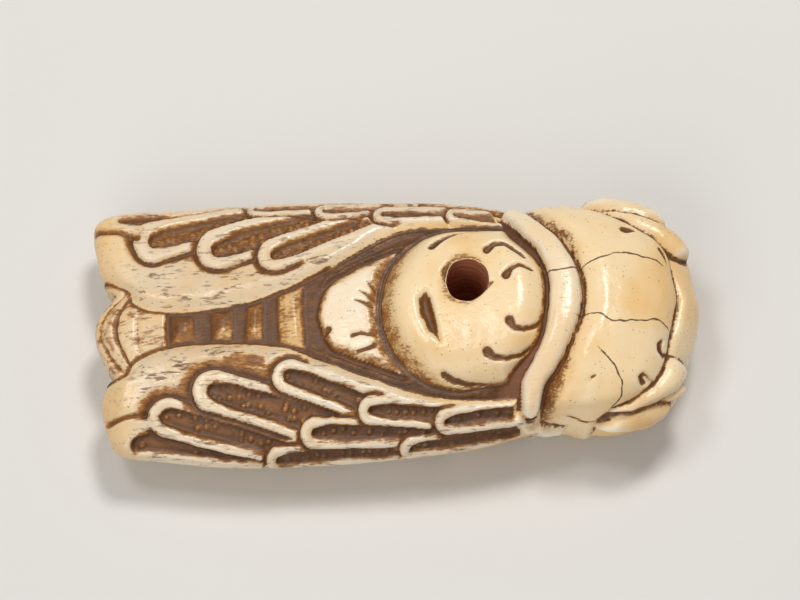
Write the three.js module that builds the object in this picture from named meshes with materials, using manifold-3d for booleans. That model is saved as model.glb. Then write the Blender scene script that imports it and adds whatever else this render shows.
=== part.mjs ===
// A netsuke carved as a cicada with folded wings: one solid, drilled through for its cord.
// The body is a smooth loaf. Everything carved on it is a height above that loaf, worked out
// from where a point lies along the length (x) and how far round the section from the back (s).
// Millimetres, +X towards the head, +Z up. The belly rests on z = 0.
import * as THREE from "three";
import { mergeVertices } from "three/addons/utils/BufferGeometryUtils.js";
import Module from "manifold-3d";

// Driving dimensions
const HALF_LENGTH = 29.3; // the loaf alone, without what is carved on its ends
const MIDLINE = -0.3; // the carver's centre line runs a little to the near side
const REST_LEVEL = 0; // the belly is worn flat here

// Profiles of the loaf along the length: [x, value]
const HALF_WIDTH = [[-30, 12.0], [-24, 12.5], [-12, 13.1], [0, 12.8], [8, 12.0], [13, 11.2], [20, 11.4], [30, 11.0]];
const BACK = [[-30, 7.6], [-20, 8.4], [-10, 9.6], [0, 10.8], [8, 11.9], [16, 12.9], [20, 12.9], [30, 12.0]];
const WAIST = [[-30, 5.8], [-20, 5.1], [-10, 4.9], [5, 5.4], [15, 6.0], [30, 6.2]];
const BELLY = [[-30, 2.6], [-22, 0.7], [-18, 0.55], [18, 0.55], [24, 1.0], [30, 2.4]];

// How each profile closes at the two ends: length of the rounding and its squareness
const PLAN_ENDS = { tail: 5, tailPower: 4.5, head: 11, headPower: 2.8 };
const BACK_ENDS = { tail: 5, tailPower: 2.6, head: 13, headPower: 2.2 };
const BELLY_ENDS = { tail: 5, tailPower: 2.6, head: 9, headPower: 2.2 };
const BACK_ROUNDNESS = 2 / 2.2;
const FLANK_ROUNDNESS = 2 / 2.6;
const BELLY_ROUNDNESS = 2 / 4.0;

// Wings
const WING_RISE = 1.0;
const WING_TIP = { from: -28, length: 1.3, rise: 0.7 }; // the wings thin out at their ends
const WING_EDGE = 1.5;
const WING_INNER = [[-30, 6.6], [-28.5, 5.2], [-27, 3.9], [-25, 2.7], [-22, 1.9], [-19, 1.7], [-16, 2.0],
  [-13, 2.8], [-10, 3.85], [-7, 5.2], [-3, 7.2], [1, 8.4], [6, 9.2], [12, 9.4]];
const WING_OUTER = [[-30, 11.0], [-26, 13.2], [-20, 14.4], [-10, 15.4], [0, 15.2], [8, 14.4], [12, 13.8]];
const CELL_DEPTH = 0.55;
// The larger sunk cells between the veins: [x, s] of the round end and of the root end, and their radii
const NEAR_CELLS = [
  { tip: [-22.9, -9.5], root: [-14.0, -12.0], radii: [1.6, 1.3] },
  { tip: [-18.4, -7.3], root: [-11.0, -9.7], radii: [1.6, 1.5] },
  { tip: [-10.7, -6.2], root: [-4.5, -8.8], radii: [1.4, 1.3] },
  { tip: [-2.3, -10.3], root: [9.5, -11.0], radii: [1.3, 1.2] },
];
const FAR_CELLS = [
  { tip: [-24.0, 9.2], root: [-17.0, 11.3], radii: [1.6, 1.4] },
  { tip: [-17.3, 7.9], root: [-9.0, 11.0], radii: [1.6, 1.4] },
  { tip: [-11.4, 6.3], root: [-4.0, 9.3], radii: [1.4, 1.3] },
  { tip: [-2.8, 10.4], root: [9.0, 10.2], radii: [1.3, 1.2] },
];

// Abdomen, seen between the wings
const ABDOMEN_RISE = 0.45;
const TAIL_RISE = 0.7;
const TAIL_RINGS_TO = -22.9;
const TAIL_UNDERSIDE = 4.0; // how far the tail's end wraps below
const SEGMENT = 3.6;
const SEGMENT_GROOVE = 0.35;

// Thorax: the scutellum, the shield that the cord hole goes through, and the collar
const SCUTELLUM_RISE = 0.8;
const SCUTELLUM_HALF = [[-8.2, 0], [-7.5, 2.2], [-5, 4.0], [-2, 5.7], [0, 6.8]];
const SHIELD = { x: 6.2, halfLength: 7.7, halfWidth: 8.7, rise: 2.2 };
const COLLAR = { crown: 16.0, sweep: 0.042, halfWidth: 1.5, narrowing: 0.045, rise: 1.5, reach: 12.2 };
const COLLAR_GROOVE = 0.7;

// Head: the dome, and the lobes of brow and eyes that wrap its front
const HEAD_RISE = 1.4;
const HEAD_SHOULDER = 3.0;
const FOREHEAD_RISE = 0.7;
const HEAD_LOBES = [
  { tip: [27.0, -7.2], root: [20.0, -12.0], radii: [2.0, 0.6], rise: 1.4 },
  { tip: [24.6, -11.9], root: [20.0, -13.6], radii: [2.1, 1.4], rise: 1.6 },
  { tip: [27.0, 7.0], root: [21.0, 10.2], radii: [2.0, 0.8], rise: 1.6 },
  { tip: [24.4, 11.2], root: [20.0, 12.6], radii: [2.2, 1.5], rise: 2.0 },
];

// Underside: rings of the abdomen, folded legs and the face, in plan [x, y]
const BELLY_RISE = 0.6;
const BELLY_RINGS = { from: -25, to: -6, halfWidth: 8.0 };
const LEGS = [
  { tip: [2.0, 3.2], root: [-4.0, 9.4] },
  { tip: [8.2, 4.6], root: [4.6, 10.0] },
  { tip: [13.6, 2.6], root: [13.0, 9.2] },
];
const LEG_RADII = [1.5, 1.2];
const FACE = { x: 20.8, halfLength: 5.2, halfWidth: 3.6, rise: 0.9 };

// The cord hole, drilled from the back and met by a narrower drill from the belly
const CORD_HOLE = { x: 7.0, y: 1.9, radius: 2.15, deepEnd: 5.6 };
const BELLY_HOLE = { x: 6.8, y: 1.5, radius: 1.8, deepEnd: 6.4 };
const HOLE_SIDES = 28;

// Fineness of the faceted surface
const ROWS = 106;
const BACK_COLUMNS = 31;
const BELLY_COLUMNS = 14;
const END_CROWDING = 0.5; // how much the blunt ends draw rows to themselves
// The rows bow with the collar, from none at the first x to the full bow, and back to none
const ROW_BOW = { depth: 5.6, from: -14, full: 10.5, until: 19, none: 29.3 };

const clamp01 = (t) => Math.min(1, Math.max(0, t));
const signedPower = (t, p) => Math.sign(t) * Math.abs(t) ** p;

// A smooth cubic curve through a few [x, value] points.
function curve(points, x) {
  const last = points.length - 1;
  const slope = (i) => {
    const a = points[Math.max(i - 1, 0)];
    const b = points[Math.min(i + 1, last)];
    return (b[1] - a[1]) / (b[0] - a[0]);
  };
  let i = 0;
  while (i < last - 1 && x > points[i + 1][0]) i += 1;
  const [p, q] = [points[i], points[i + 1]];
  const span = q[0] - p[0];
  const t = clamp01((x - p[0]) / span);
  const ease = t * t * (3 - 2 * t);
  const lead = t * (1 - t) * (1 - t) * slope(i) - t * t * (1 - t) * slope(i + 1);
  return p[1] + (q[1] - p[1]) * ease + span * lead;
}

// A soft shoulder: 0 at an edge, 1 from one width inside it.
function shoulder(d, width) {
  const t = clamp01(d / width);
  return t * (2 - t);
}

// How full a profile is at x, from 0 at either end to 1 along the middle.
function endScale(x, ends) {
  const close = (d, power) => (1 - (1 - clamp01(d)) ** power) ** (1 / power);
  return close((HALF_LENGTH + x) / ends.tail, ends.tailPower) * close((HALF_LENGTH - x) / ends.head, ends.headPower);
}

// The loaf at x, at an angle round the section from the back's middle, positive to +Y.
function loaf(x, angle) {
  const up = Math.cos(angle);
  const out = Math.sin(angle);
  const waist = curve(WAIST, x);
  const halfWidth = curve(HALF_WIDTH, x) * endScale(x, PLAN_ENDS);
  const y = halfWidth * signedPower(out, up >= 0 ? BACK_ROUNDNESS : FLANK_ROUNDNESS);
  const rise = (curve(BACK, x) - waist) * endScale(x, BACK_ENDS) * Math.abs(up) ** BACK_ROUNDNESS;
  const drop = (waist - curve(BELLY, x)) * endScale(x, BELLY_ENDS) * Math.abs(up) ** BELLY_ROUNDNESS;
  return new THREE.Vector3(x, y, up >= 0 ? waist + rise : waist - drop);
}

// Signed distance from a point to a tapering capsule, negative inside.
function capsule(px, py, { tip, root }, radii) {
  const along = [root[0] - tip[0], root[1] - tip[1]];
  const t = clamp01(((px - tip[0]) * along[0] + (py - tip[1]) * along[1]) / (along[0] ** 2 + along[1] ** 2));
  const reach = Math.hypot(px - tip[0] - t * along[0], py - tip[1] - t * along[1]);
  return reach - (radii[0] + t * (radii[1] - radii[0]));
}

// Where the collar's middle lies at s, and half its width there.
const collarMiddle = (s) => COLLAR.crown - COLLAR.sweep * (s - MIDLINE) ** 2;
const collarHalf = (s) => COLLAR.halfWidth - COLLAR.narrowing * Math.abs(s);

function wingHeight(x, s) {
  const inside = Math.min(
    Math.abs(s - MIDLINE) - curve(WING_INNER, x),
    curve(WING_OUTER, x) - Math.abs(s),
    collarMiddle(s) - collarHalf(s) - COLLAR_GROOVE - x,
  );
  if (inside <= 0) return 0;
  const cells = s < 0 ? NEAR_CELLS : FAR_CELLS;
  const deepest = Math.min(...cells.map((cell) => capsule(x, s, cell, cell.radii)));
  const rise = WING_RISE - (WING_RISE - WING_TIP.rise) * clamp01((WING_TIP.from - x) / WING_TIP.length);
  return rise * shoulder(inside, WING_EDGE) - CELL_DEPTH * shoulder(-deepest, WING_EDGE);
}

function abdomenHeight(x, s) {
  const inside = curve(WING_INNER, x) + WING_EDGE - Math.abs(s - MIDLINE);
  const along = (x - TAIL_RINGS_TO) / SEGMENT;
  const groove = SEGMENT_GROOVE * Math.max(0, Math.cos(2 * Math.PI * along)) ** 3;
  const level = x < TAIL_RINGS_TO ? TAIL_RISE : ABDOMEN_RISE;
  return inside > 0 && x < SCUTELLUM_HALF[0][0] ? level - groove : 0;
}

function scutellumHeight(x, s) {
  if (x < SCUTELLUM_HALF[0][0] || x > SHIELD.x) return 0;
  return SCUTELLUM_RISE * shoulder(curve(SCUTELLUM_HALF, x) - Math.abs(s - MIDLINE), WING_EDGE);
}

function shieldHeight(x, s) {
  const out = Math.hypot((x - SHIELD.x) / SHIELD.halfLength, (s - MIDLINE) / SHIELD.halfWidth);
  const beforeCollar = collarMiddle(s) - collarHalf(s) - COLLAR_GROOVE / 2 - x;
  return SHIELD.rise * shoulder(1 - out, 0.75) * shoulder(beforeCollar, HEAD_SHOULDER);
}

function collarHeight(x, s) {
  const inside = collarHalf(s) - Math.abs(x - collarMiddle(s));
  return COLLAR.rise * shoulder(inside, collarHalf(s)) * shoulder(COLLAR.reach - Math.abs(s), 1);
}

function headHeight(x, s) {
  const dome = HEAD_RISE * shoulder(x - collarMiddle(s) - collarHalf(s) - COLLAR_GROOVE / 2, HEAD_SHOULDER);
  const fade = clamp01((HALF_LENGTH - x) / HEAD_SHOULDER);
  const lobes = HEAD_LOBES.map(({ rise, ...lobe }) => rise * shoulder(-capsule(x, s, lobe, lobe.radii), lobe.radii[0]));
  return Math.max(Math.min(dome, FOREHEAD_RISE + (HEAD_RISE - FOREHEAD_RISE) * fade), ...lobes);
}

function tailUnderside(x, y) {
  const inside = curve(WING_INNER, x) - Math.abs(y);
  return TAIL_RISE * shoulder(inside, WING_EDGE) * clamp01((TAIL_UNDERSIDE - HALF_LENGTH - x) / TAIL_UNDERSIDE);
}

function bellyHeight(x, y) {
  const { from, to, halfWidth } = BELLY_RINGS;
  const ring = BELLY_RISE - SEGMENT_GROOVE * Math.max(0, Math.cos((2 * Math.PI * (x - from)) / SEGMENT)) ** 3;
  const onRings = shoulder(Math.min(x - from, to - x, halfWidth - Math.abs(y)), 2);
  const legs = LEGS.map((leg) => BELLY_RISE * shoulder(-capsule(x, Math.abs(y), leg, LEG_RADII), LEG_RADII[1]));
  const face = Math.hypot((x - FACE.x) / FACE.halfLength, y / FACE.halfWidth);
  return Math.max(ring * onRings, FACE.rise * shoulder(1 - face, 1), tailUnderside(x, y), ...legs);
}

// Height of the carving above the loaf.
function relief(point, s, onBelly) {
  const { x, y } = point;
  if (onBelly) return Math.max(bellyHeight(x, y), wingHeight(x, s), headHeight(x, s) * clamp01((x - COLLAR.crown) / HEAD_SHOULDER));
  return Math.max(
    wingHeight(x, s), abdomenHeight(x, s), scutellumHeight(x, s), shieldHeight(x, s), collarHeight(x, s), headHeight(x, s),
  );
}

// Values at even steps along a polyline whose running lengths are given.
function evenSteps(values, lengths, count) {
  const total = lengths[lengths.length - 1];
  let i = 0;
  return Array.from({ length: count }, (_, n) => {
    const target = (total * n) / (count - 1);
    while (i < lengths.length - 2 && lengths[i + 1] < target) i += 1;
    const t = clamp01((target - lengths[i]) / (lengths[i + 1] - lengths[i]));
    return values[i] + t * (values[i + 1] - values[i]);
  });
}

// Rows along the length, even along the plan's outline, so that the blunt ends get rows too.
function rowPlaces() {
  const fine = 4000;
  const places = Array.from({ length: fine + 1 }, (_, i) => {
    const turn = (Math.PI * i) / fine;
    return -HALF_LENGTH * Math.sign(Math.cos(turn)) * (1 - (1 - Math.abs(Math.cos(turn))) ** 3);
  });
  const widths = places.map((x) => curve(HALF_WIDTH, x) * endScale(x, PLAN_ENDS));
  const lengths = [0];
  for (let i = 1; i <= fine; i += 1) {
    const across = END_CROWDING * (widths[i] - widths[i - 1]);
    lengths.push(lengths[i - 1] + Math.hypot(places[i] - places[i - 1], across));
  }
  return evenSteps(places, lengths, ROWS).slice(1, -1);
}

// Where a row that crosses the back at x lies at an angle round the section.
function bowed(x, angle) {
  const { depth, from, full, until, none } = ROW_BOW;
  const share = shoulder(x - from, full - from) * clamp01((none - x) / (none - until));
  return x - depth * share * Math.sin(angle) ** 2;
}

// Angles round the section: even steps of length over the back, and wider ones under the belly.
function columnAngles() {
  const fine = 720;
  const steps = (from, to, count) => {
    const angles = Array.from({ length: fine + 1 }, (_, i) => from + ((to - from) * i) / fine);
    const lengths = [0];
    for (let i = 1; i <= fine; i += 1) {
      lengths.push(lengths[i - 1] + loaf(0, angles[i]).distanceTo(loaf(0, angles[i - 1])));
    }
    return evenSteps(angles, lengths, count + 1).slice(0, -1);
  };
  const flank = Math.PI / 2;
  return [...steps(-flank, flank, BACK_COLUMNS), ...steps(flank, 2 * Math.PI - flank, BELLY_COLUMNS)];
}

// The carved surface as one closed mesh: rings of points along the length, and a pole at each end.
function carving() {
  const rows = rowPlaces();
  const angles = columnAngles();
  const columns = angles.length;
  const positions = [];
  const step = 1e-4;
  for (const row of rows) {
    for (const angle of angles) {
      const x = bowed(row, angle);
      const place = loaf(x, angle);
      const round = loaf(x, angle + step).sub(loaf(x, angle - step));
      const along = loaf(x + step, angle).sub(loaf(x - step, angle));
      const outward = along.cross(round).normalize();
      const height = relief(place, arcFromBack(x, angle), Math.cos(angle) < 0);
      place.addScaledVector(outward, height);
      positions.push(place.x, place.y, Math.max(place.z, REST_LEVEL));
    }
  }
  const tailPole = positions.length / 3;
  positions.push(-HALF_LENGTH - TAIL_RISE, 0, curve(WAIST, -HALF_LENGTH));
  positions.push(HALF_LENGTH + FOREHEAD_RISE, 0, curve(WAIST, HALF_LENGTH));
  const triangles = [];
  for (let j = 0; j < columns; j += 1) {
    const next = (j + 1) % columns;
    triangles.push(tailPole, j, next);
    for (let i = 0; i < rows.length - 1; i += 1) {
      const [a, b] = [i * columns + j, i * columns + next];
      triangles.push(a, a + columns, b, b, a + columns, b + columns);
    }
    const lastRow = (rows.length - 1) * columns;
    triangles.push(tailPole + 1, lastRow + next, lastRow + j);
  }
  const geometry = new THREE.BufferGeometry();
  geometry.setAttribute("position", new THREE.Float32BufferAttribute(positions, 3));
  geometry.setIndex(triangles);
  return geometry;
}

// Length round the loaf's section from the back's middle to an angle, with the angle's sign.
function arcFromBack(x, angle) {
  const turn = angle > Math.PI ? angle - 2 * Math.PI : angle;
  const pieces = 48;
  let length = 0;
  let from = loaf(x, 0);
  for (let i = 1; i <= pieces; i += 1) {
    const to = loaf(x, (turn * i) / pieces);
    length += to.distanceTo(from);
    from = to;
  }
  return Math.sign(turn) * length;
}

// A drill standing upright between two levels.
function drill({ x, y, radius }, low, high) {
  const geometry = new THREE.CylinderGeometry(radius, radius, high - low, HOLE_SIDES);
  geometry.rotateX(Math.PI / 2);
  geometry.translate(x, y, (low + high) / 2);
  return geometry;
}

const wasm = await Module();
wasm.setup();

function toSolid(geometry) {
  geometry.deleteAttribute("normal");
  geometry.deleteAttribute("uv");
  const merged = mergeVertices(geometry, 1e-4);
  return new wasm.Manifold(new wasm.Mesh({
    numProp: 3,
    vertProperties: merged.attributes.position.array,
    triVerts: new Uint32Array(merged.index.array),
  }));
}

function toGeometry(solid) {
  const mesh = solid.getMesh();
  const geometry = new THREE.BufferGeometry();
  geometry.setAttribute("position", new THREE.BufferAttribute(mesh.vertProperties, 3));
  geometry.setIndex(new THREE.BufferAttribute(mesh.triVerts, 1));
  geometry.computeVertexNormals();
  return geometry;
}

const ABOVE = 20;
const BELOW = -5;
const body = toSolid(carving())
  .subtract(toSolid(drill(CORD_HOLE, CORD_HOLE.deepEnd, ABOVE)))
  .subtract(toSolid(drill(BELLY_HOLE, BELOW, BELLY_HOLE.deepEnd)));

const antler = new THREE.MeshStandardMaterial({ color: 0xe3c892, roughness: 0.35, metalness: 0 });
const cicada = new THREE.Mesh(toGeometry(body), antler);
cicada.name = "cicada";

const netsuke = new THREE.Group();
netsuke.add(cicada);

export default netsuke;
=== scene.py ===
"""A netsuke carved as a cicada with folded wings, polished and stained brown in its cuts.

The body is a smooth loaf. All carving is a height above that loaf, worked out from where a point lies
along the length (x, towards the head) and how far round the section it is from the back (s, positive on
the far side). Working sizes are in millimetres and become metres when the mesh is made.
"""
import math

import bpy
import numpy as np
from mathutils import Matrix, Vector


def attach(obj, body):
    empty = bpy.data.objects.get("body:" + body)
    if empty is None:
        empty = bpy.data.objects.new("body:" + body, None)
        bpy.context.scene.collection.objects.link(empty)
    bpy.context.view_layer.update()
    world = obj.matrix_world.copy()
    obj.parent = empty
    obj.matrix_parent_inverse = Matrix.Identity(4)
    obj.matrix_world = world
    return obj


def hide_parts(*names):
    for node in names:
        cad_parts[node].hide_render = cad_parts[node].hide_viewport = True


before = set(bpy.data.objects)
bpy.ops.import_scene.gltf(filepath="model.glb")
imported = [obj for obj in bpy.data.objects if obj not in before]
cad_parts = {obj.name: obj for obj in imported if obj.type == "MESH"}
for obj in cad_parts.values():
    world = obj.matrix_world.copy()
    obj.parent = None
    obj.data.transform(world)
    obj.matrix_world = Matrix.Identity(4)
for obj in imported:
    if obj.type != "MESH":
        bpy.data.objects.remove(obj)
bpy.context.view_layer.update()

bl_info = {
    "name": "Cicada netsuke",
    "version": (1, 0, 0),
    "blender": (4, 5, 0),
    "location": "3D View > Sidebar > Netsuke",
    "description": "Carves a stained cicada netsuke and sets it on a plain stage",
    "category": "Object",
}

MM = 0.001

# A distance that is past everything, to start a search for the nearest
FAR_OFF = 99.0

# Loaf: half its length, and its profiles along x as (x, size)
HALF_LENGTH = 29.3
HALF_WIDTH = [
    (-30, 12.0), (-24, 12.5), (-12, 13.1), (0, 12.8), (8, 12.0), (13, 10.9), (16, 10.9), (20, 11.4),
    (30, 11.0),
]
BACK = [(-30, 7.6), (-20, 8.4), (-10, 9.6), (0, 10.8), (8, 11.9), (16, 12.9), (20, 12.9), (30, 12.0)]
WAIST = [(-30, 5.8), (-20, 5.1), (-10, 4.9), (5, 5.4), (15, 6.0), (30, 6.2)]
BELLY = [(-30, 2.6), (-22, 0.7), (-18, 0.55), (18, 0.55), (24, 1.0), (30, 2.4)]

# How each profile closes at the ends: tail length and squareness, then the head's
PLAN_ENDS = (5.0, 4.5, 11.0, 2.8)
BACK_ENDS = (5.0, 2.6, 13.0, 2.2)
BELLY_ENDS = (5.0, 2.6, 9.0, 2.2)

# Powers of the section's superellipse: over the back, on the flanks and below
BACK_ROUND = 2 / 2.2
FLANK_ROUND = 2 / 2.6
BELLY_ROUND = 2 / 4.0

# Rows of the mesh bow with the collar: depth of the bow, and the x where it starts, is full and ends
ROW_BOW = (4.6, -14.0, 10.5, 19.0, 29.3)

# Samples for spacing the rows and the columns evenly, how much the blunt ends count in that, the straight
# pieces that a length round the section is measured in, how far the end points stand out past the first and
# last row, and the fewest faces that a sound carving has
ROW_SAMPLES = 6001
ANGLE_SAMPLES = 2001
END_SHARE = 0.5
ARC_PIECES = 40
POLE_REACH = 0.02
FEWEST_FACES = 1000

# How far past the flanks the fine columns go, in radians, and where the carving below starts and is full
FLANK_REACH = 0.12
UNDER = (0.03, 0.12)

# Unevenness of cuts made by hand, as waves (amount, size, seed): along x, round the section, in height,
# and of the cracks along x and round the section
UNEVEN_X = [(0.1, 7.0, 1), (0.04, 2.3, 5)]
UNEVEN_S = [(0.1, 8.0, 2), (0.04, 2.6, 6)]
UNEVEN_HEIGHT = [(0.025, 3.1, 3), (0.015, 1.3, 4)]
CRACK_X = [(0.1, 1.7, 7)]
CRACK_S = [(0.12, 1.5, 8)]

# Wings: the inner edges as (x, distance from the middle), the heights of the lower edges above the table
# as (x, z), where the root ends and how far it laps over the collar's ends, where the tip starts to thin
# and is thinnest, and how much of its height the near and the far tip lose
NEAR_INNER = [
    (-30, 5.2), (-28.7, 4.6), (-28.0, 4.05), (-27.1, 3.5), (-25.9, 2.95), (-23.1, 2.05), (-21.2, 1.8),
    (-18.6, 1.8), (-15.6, 2.1), (-14.6, 2.25), (-12.8, 2.6), (-10.7, 3.1), (-8.8, 4.0), (-6.8, 5.1),
    (-4.9, 6.15), (-3.0, 6.95), (-1.0, 7.75), (0.9, 8.45), (2.8, 9.1), (4.8, 9.55), (6.7, 9.8), (9.1, 9.95),
    (12, 10.0),
]
FAR_INNER = [
    (-30, 6.8), (-28.8, 5.7), (-27.7, 4.2), (-26.5, 2.95), (-25.2, 2.1), (-23.0, 1.6), (-19.8, 1.5),
    (-17.1, 1.7), (-14.8, 2.05), (-13.1, 2.5), (-10.4, 3.4), (-8.3, 4.5), (-6.1, 5.6), (-3.9, 6.9),
    (-1.7, 8.3), (0.4, 9.1), (4.7, 9.5), (9, 9.6), (12, 9.3),
]
NEAR_FOOT = [(-30, 4.5), (-20, 4.5), (-10, 4.6), (0, 5.0), (8, 5.5), (12, 5.8)]
FAR_FOOT = [(-30, 4.2), (-20, 4.0), (-10, 4.0), (0, 4.4), (8, 5.2), (12, 5.6)]
WING_ROOT = 13.6
ROOT_LAP = 0.5
WING_TIP = (-27.0, -29.4)
TIP_LOSS = (0.7, 0.25)

# The band's rounded edge: its radius near the root, how much wider it is at the tail, and between which x
EDGE_RADIUS = 1.0
EDGE_WIDENS = 1.1
EDGE_WIDENING = (-6.0, -13.0)

# Sunk wing cells in the order they overlap, from the tip to the root: round end (x, s), root end (x, s),
# outer radii there, rim widths at the round end and along the inner and outer arms, and the groove
# outside: its reach beside the inner and the outer arm, and how far it runs along the inner one
NEAR_CELLS = [
    ((-26.0, -12.2), (-12.5, -13.5), (1.3, 1.6), (0.7, 0.06, 1.05), (0.06, 0.05, 12)),
    ((-22.9, -9.5), (-11.6, -12.8), (2.2, 1.5), (1.3, 0.85, 0.65), (1.3, 0.35, 12)),
    ((-18.4, -7.0), (-7.5, -10.8), (2.15, 2.25), (1.65, 0.95, 0.75), (1.6, 0.9, 12)),
    ((-12.2, -13.9), (1.5, -14.0), (1.4, 1.4), (1.2, 0.55, 0.8), (0.45, 0.05, 12)),
    ((-10.7, -6.2), (-3.0, -9.5), (1.9, 1.75), (1.25, 0.85, 0.75), (0.75, 0.3, 0.6)),
    ((-8.6, -11.65), (2.5, -12.45), (1.5, 1.35), (1.25, 0.6, 0.6), (0.45, 0.3, 12)),
    ((0.95, -13.9), (13.5, -13.2), (1.35, 1.3), (1.1, 0.55, 0.75), (0.4, 0.05, 12)),
    ((-2.9, -9.9), (4.6, -10.9), (1.45, 1.5), (1.2, 0.7, 0.55), (0.5, 0.3, 0.6)),
    ((4.4, -11.45), (13.0, -11.0), (1.35, 1.5), (1.15, 0.75, 0.55), (0.45, 0.3, 0.6)),
]
FAR_CELLS = [
    ((-26.0, 11.5), (-14.0, 12.3), (1.25, 1.6), (0.45, 0.06, 0.75), (0.06, 0.05, 12)),
    ((-24.0, 9.35), (-13.0, 11.9), (2.2, 1.8), (1.65, 0.95, 0.8), (0.75, 0.3, 12)),
    ((-17.5, 8.15), (-6.5, 11.3), (2.35, 1.9), (1.75, 0.95, 0.8), (0.75, 0.3, 12)),
    ((-13.6, 12.8), (-2.0, 13.0), (1.2, 1.2), (0.9, 0.5, 0.7), (0.4, 0.05, 12)),
    ((-11.8, 7.05), (-2.6, 10.2), (2.0, 1.6), (1.5, 0.9, 0.75), (0.75, 0.3, 1.5)),
    ((-6.7, 12.0), (0.5, 12.4), (1.3, 1.15), (0.9, 0.6, 0.65), (0.45, 0.3, 12)),
    ((2.9, 12.7), (11.5, 12.0), (1.2, 1.1), (0.8, 0.5, 0.65), (0.4, 0.05, 12)),
    ((-0.8, 11.0), (6.5, 10.9), (1.35, 1.2), (0.95, 0.65, 0.65), (0.45, 0.3, 0.6)),
    ((6.2, 10.7), (13.0, 9.8), (1.15, 1.1), (0.85, 0.6, 0.6), (0.4, 0.3, 0.6)),
]

# Cells in section: how far the root end slants back for each millimetre outward, the rim's crown, how
# wide the slope down to the floor is along the inner arm and how much wider along the outer one, the
# height that a groove leaves above the floor and the power of its profile, how far a groove takes to end,
# and how much the outer rim thins
CELL_SLANT = 1.4
RIM_CROWN = 0.07
CELL_SLOPE = 0.26
OUTER_SLOPE = 0.45
GROOVE_BED = 0.1
GROOVE_POWER = 1.4
GROOVE_FADE = 1.2
RIM_THINS = 0.3

# Stain on the wings: how deep the far cells' edges are beside the near ones', the cuts beside the veins,
# the patch on the near band, how much paler a bead is and how deep the ring round it, and how much
# cleaner a cell's rim is
FAR_CELL_DEEP = 0.4
TIP_CUT_STAIN = 0.9
PATCH_STAIN = 0.6
BEAD_PALER = 0.5
BEAD_RING = 0.6
RIM_CLEANER = 0.7

# Raised veins across the wing tips: points (x, s, half width) along each
VEINS = [
    [(-28.6, -11.0, 0.45), (-25.0, -10.25, 0.5)],
    [(-29.3, 11.8, 0.35), (-25.6, 10.6, 0.4)],
]

# The brown patch on the near wing's band: points (x, s, half width)
BAND_PATCH = [(-20.2, -4.9, 0.2), (-17.6, -4.3, 0.4), (-15.1, -4.0, 0.5), (-13.6, -4.5, 0.4)]

# Beads on the cells' floors: spacing, size, the share left out, and the random net's seed and squares
# each way
BEAD_PITCH = 0.9
BEAD_RADIUS = 0.38
BEAD_HEIGHT = 0.26
BEADS_LEFT_OUT = 0.33
BEAD_SEED = 11
BEAD_NET = 64

# How warm the cells' floors show on the near and the far wing, how porous a band is at its tip, and how
# much more so along the near and the far band
FLOOR_WARMTH = (0.15, 1.5)
TIP_PORES = 0.25
BAND_PORES = (0.75, 0.65)

# Abdomen: where its back runs, the heights of the tail, the ground and the tiles on it, the red fleck as
# points (x, s, half width), incised rings (x, depth), and tiles as (start, end, how brown)
MIDDLE = -0.3
TAIL_RISE = 0.45
GROUND_RISE = 0.05
TILE_RISE = 0.55
TAIL_FLECK = [(-28.35, -0.4, 0.12), (-28.2, -1.3, 0.16), (-28.3, -1.9, 0.06)]
TAIL_RINGS = [(-28.9, 0.22), (-27.6, 0.35), (-25.8, 0.16), (-22.9, 0.4)]
TILES = [(-22.7, -20.0, 0.8), (-18.6, -16.2, 0.72), (-15.2, -13.2, 0.62), (-12.0, -9.1, 0.36)]

# A tail ring's bow for each square millimetre from the middle. Then the stain over the tail, beside the
# wings, for each millimetre of a ring's depth and on the ground, how much paler painted light makes a
# tile's lit half, how the seam between its halves slants, the amber over all of it, and the tail's pores
RING_BOW = 0.03
TAIL_STAIN = 0.17
TAIL_SIDE_STAIN = 0.6
RING_STAIN = 2.2
GROUND_STAIN = 0.95
TILE_PAINTED_LIGHT = 0.4
TILE_SEAM = 0.9
STRIP_AMBER = 0.8
TAIL_PORES = 0.7

# How far the tail end moves along x, as (y, shift): a round tail between the near and the far wing's tip
TAIL_END = [
    (-14, 0.0), (-9, 0.0), (-6.4, 0.0), (-5.2, 0.4), (-4.3, 1.4), (-3.6, 1.0), (-2, 0.3), (-0.5, -0.25),
    (0.7, -0.4), (2, -0.2), (3.1, 0.45), (3.9, 1.1), (4.4, 1.4), (5.3, 0.8), (6.5, 0.35), (8.8, -0.15),
    (10.2, -0.7), (12, -1.3), (14, -1.4),
]

# How far the head end moves along x, as (y, shift), and both flanks of the wings along y, as (x, shift)
HEAD_END = [
    (-12, 0.0), (-8, 0.0), (-5.5, -0.8), (-2.5, -0.5), (0.5, 0.0), (3.5, 0.1), (5.8, 0.65), (8.5, 0.95),
    (10.5, 0.7), (13, 0.0),
]
FAR_FLANK = [(-30, 0.9), (-27, 0.8), (-22, 0.6), (-12, 0.5), (-4, 0.3), (3, 0.2), (8, 0.0), (12, 0.0)]
NEAR_FLANK = [(-30, 0.2), (-27, 0.65), (-24, 0.6), (-20, 0.25), (-14, 0.0), (-10, 0.0)]

# Between which x the end shifts come in, and between which y the flank shifts do
TAIL_SHIFTS = (-24.5, -28.6)
HEAD_SHIFTS = (21.0, 27.0)
FAR_SHIFTS = (7.0, 11.5)
NEAR_SHIFTS = (-8.0, -11.5)

# Scutellum: outline (x, half width), the pad's height, and three fine ridges, (height, place): a thread
# outside the pad, a lip outside the shield and a line beside the wings
SCUTELLUM = [(-8.0, 0.0), (-7.6, 1.7), (-7.0, 3.0), (-5.1, 4.4), (-2.5, 5.6), (0.0, 6.7)]
PAD_RISE = 0.95
THREAD = (0.34, 0.65)
LIP = (0.4, 0.36)
WING_LINE = (0.28, 0.5)

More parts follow.
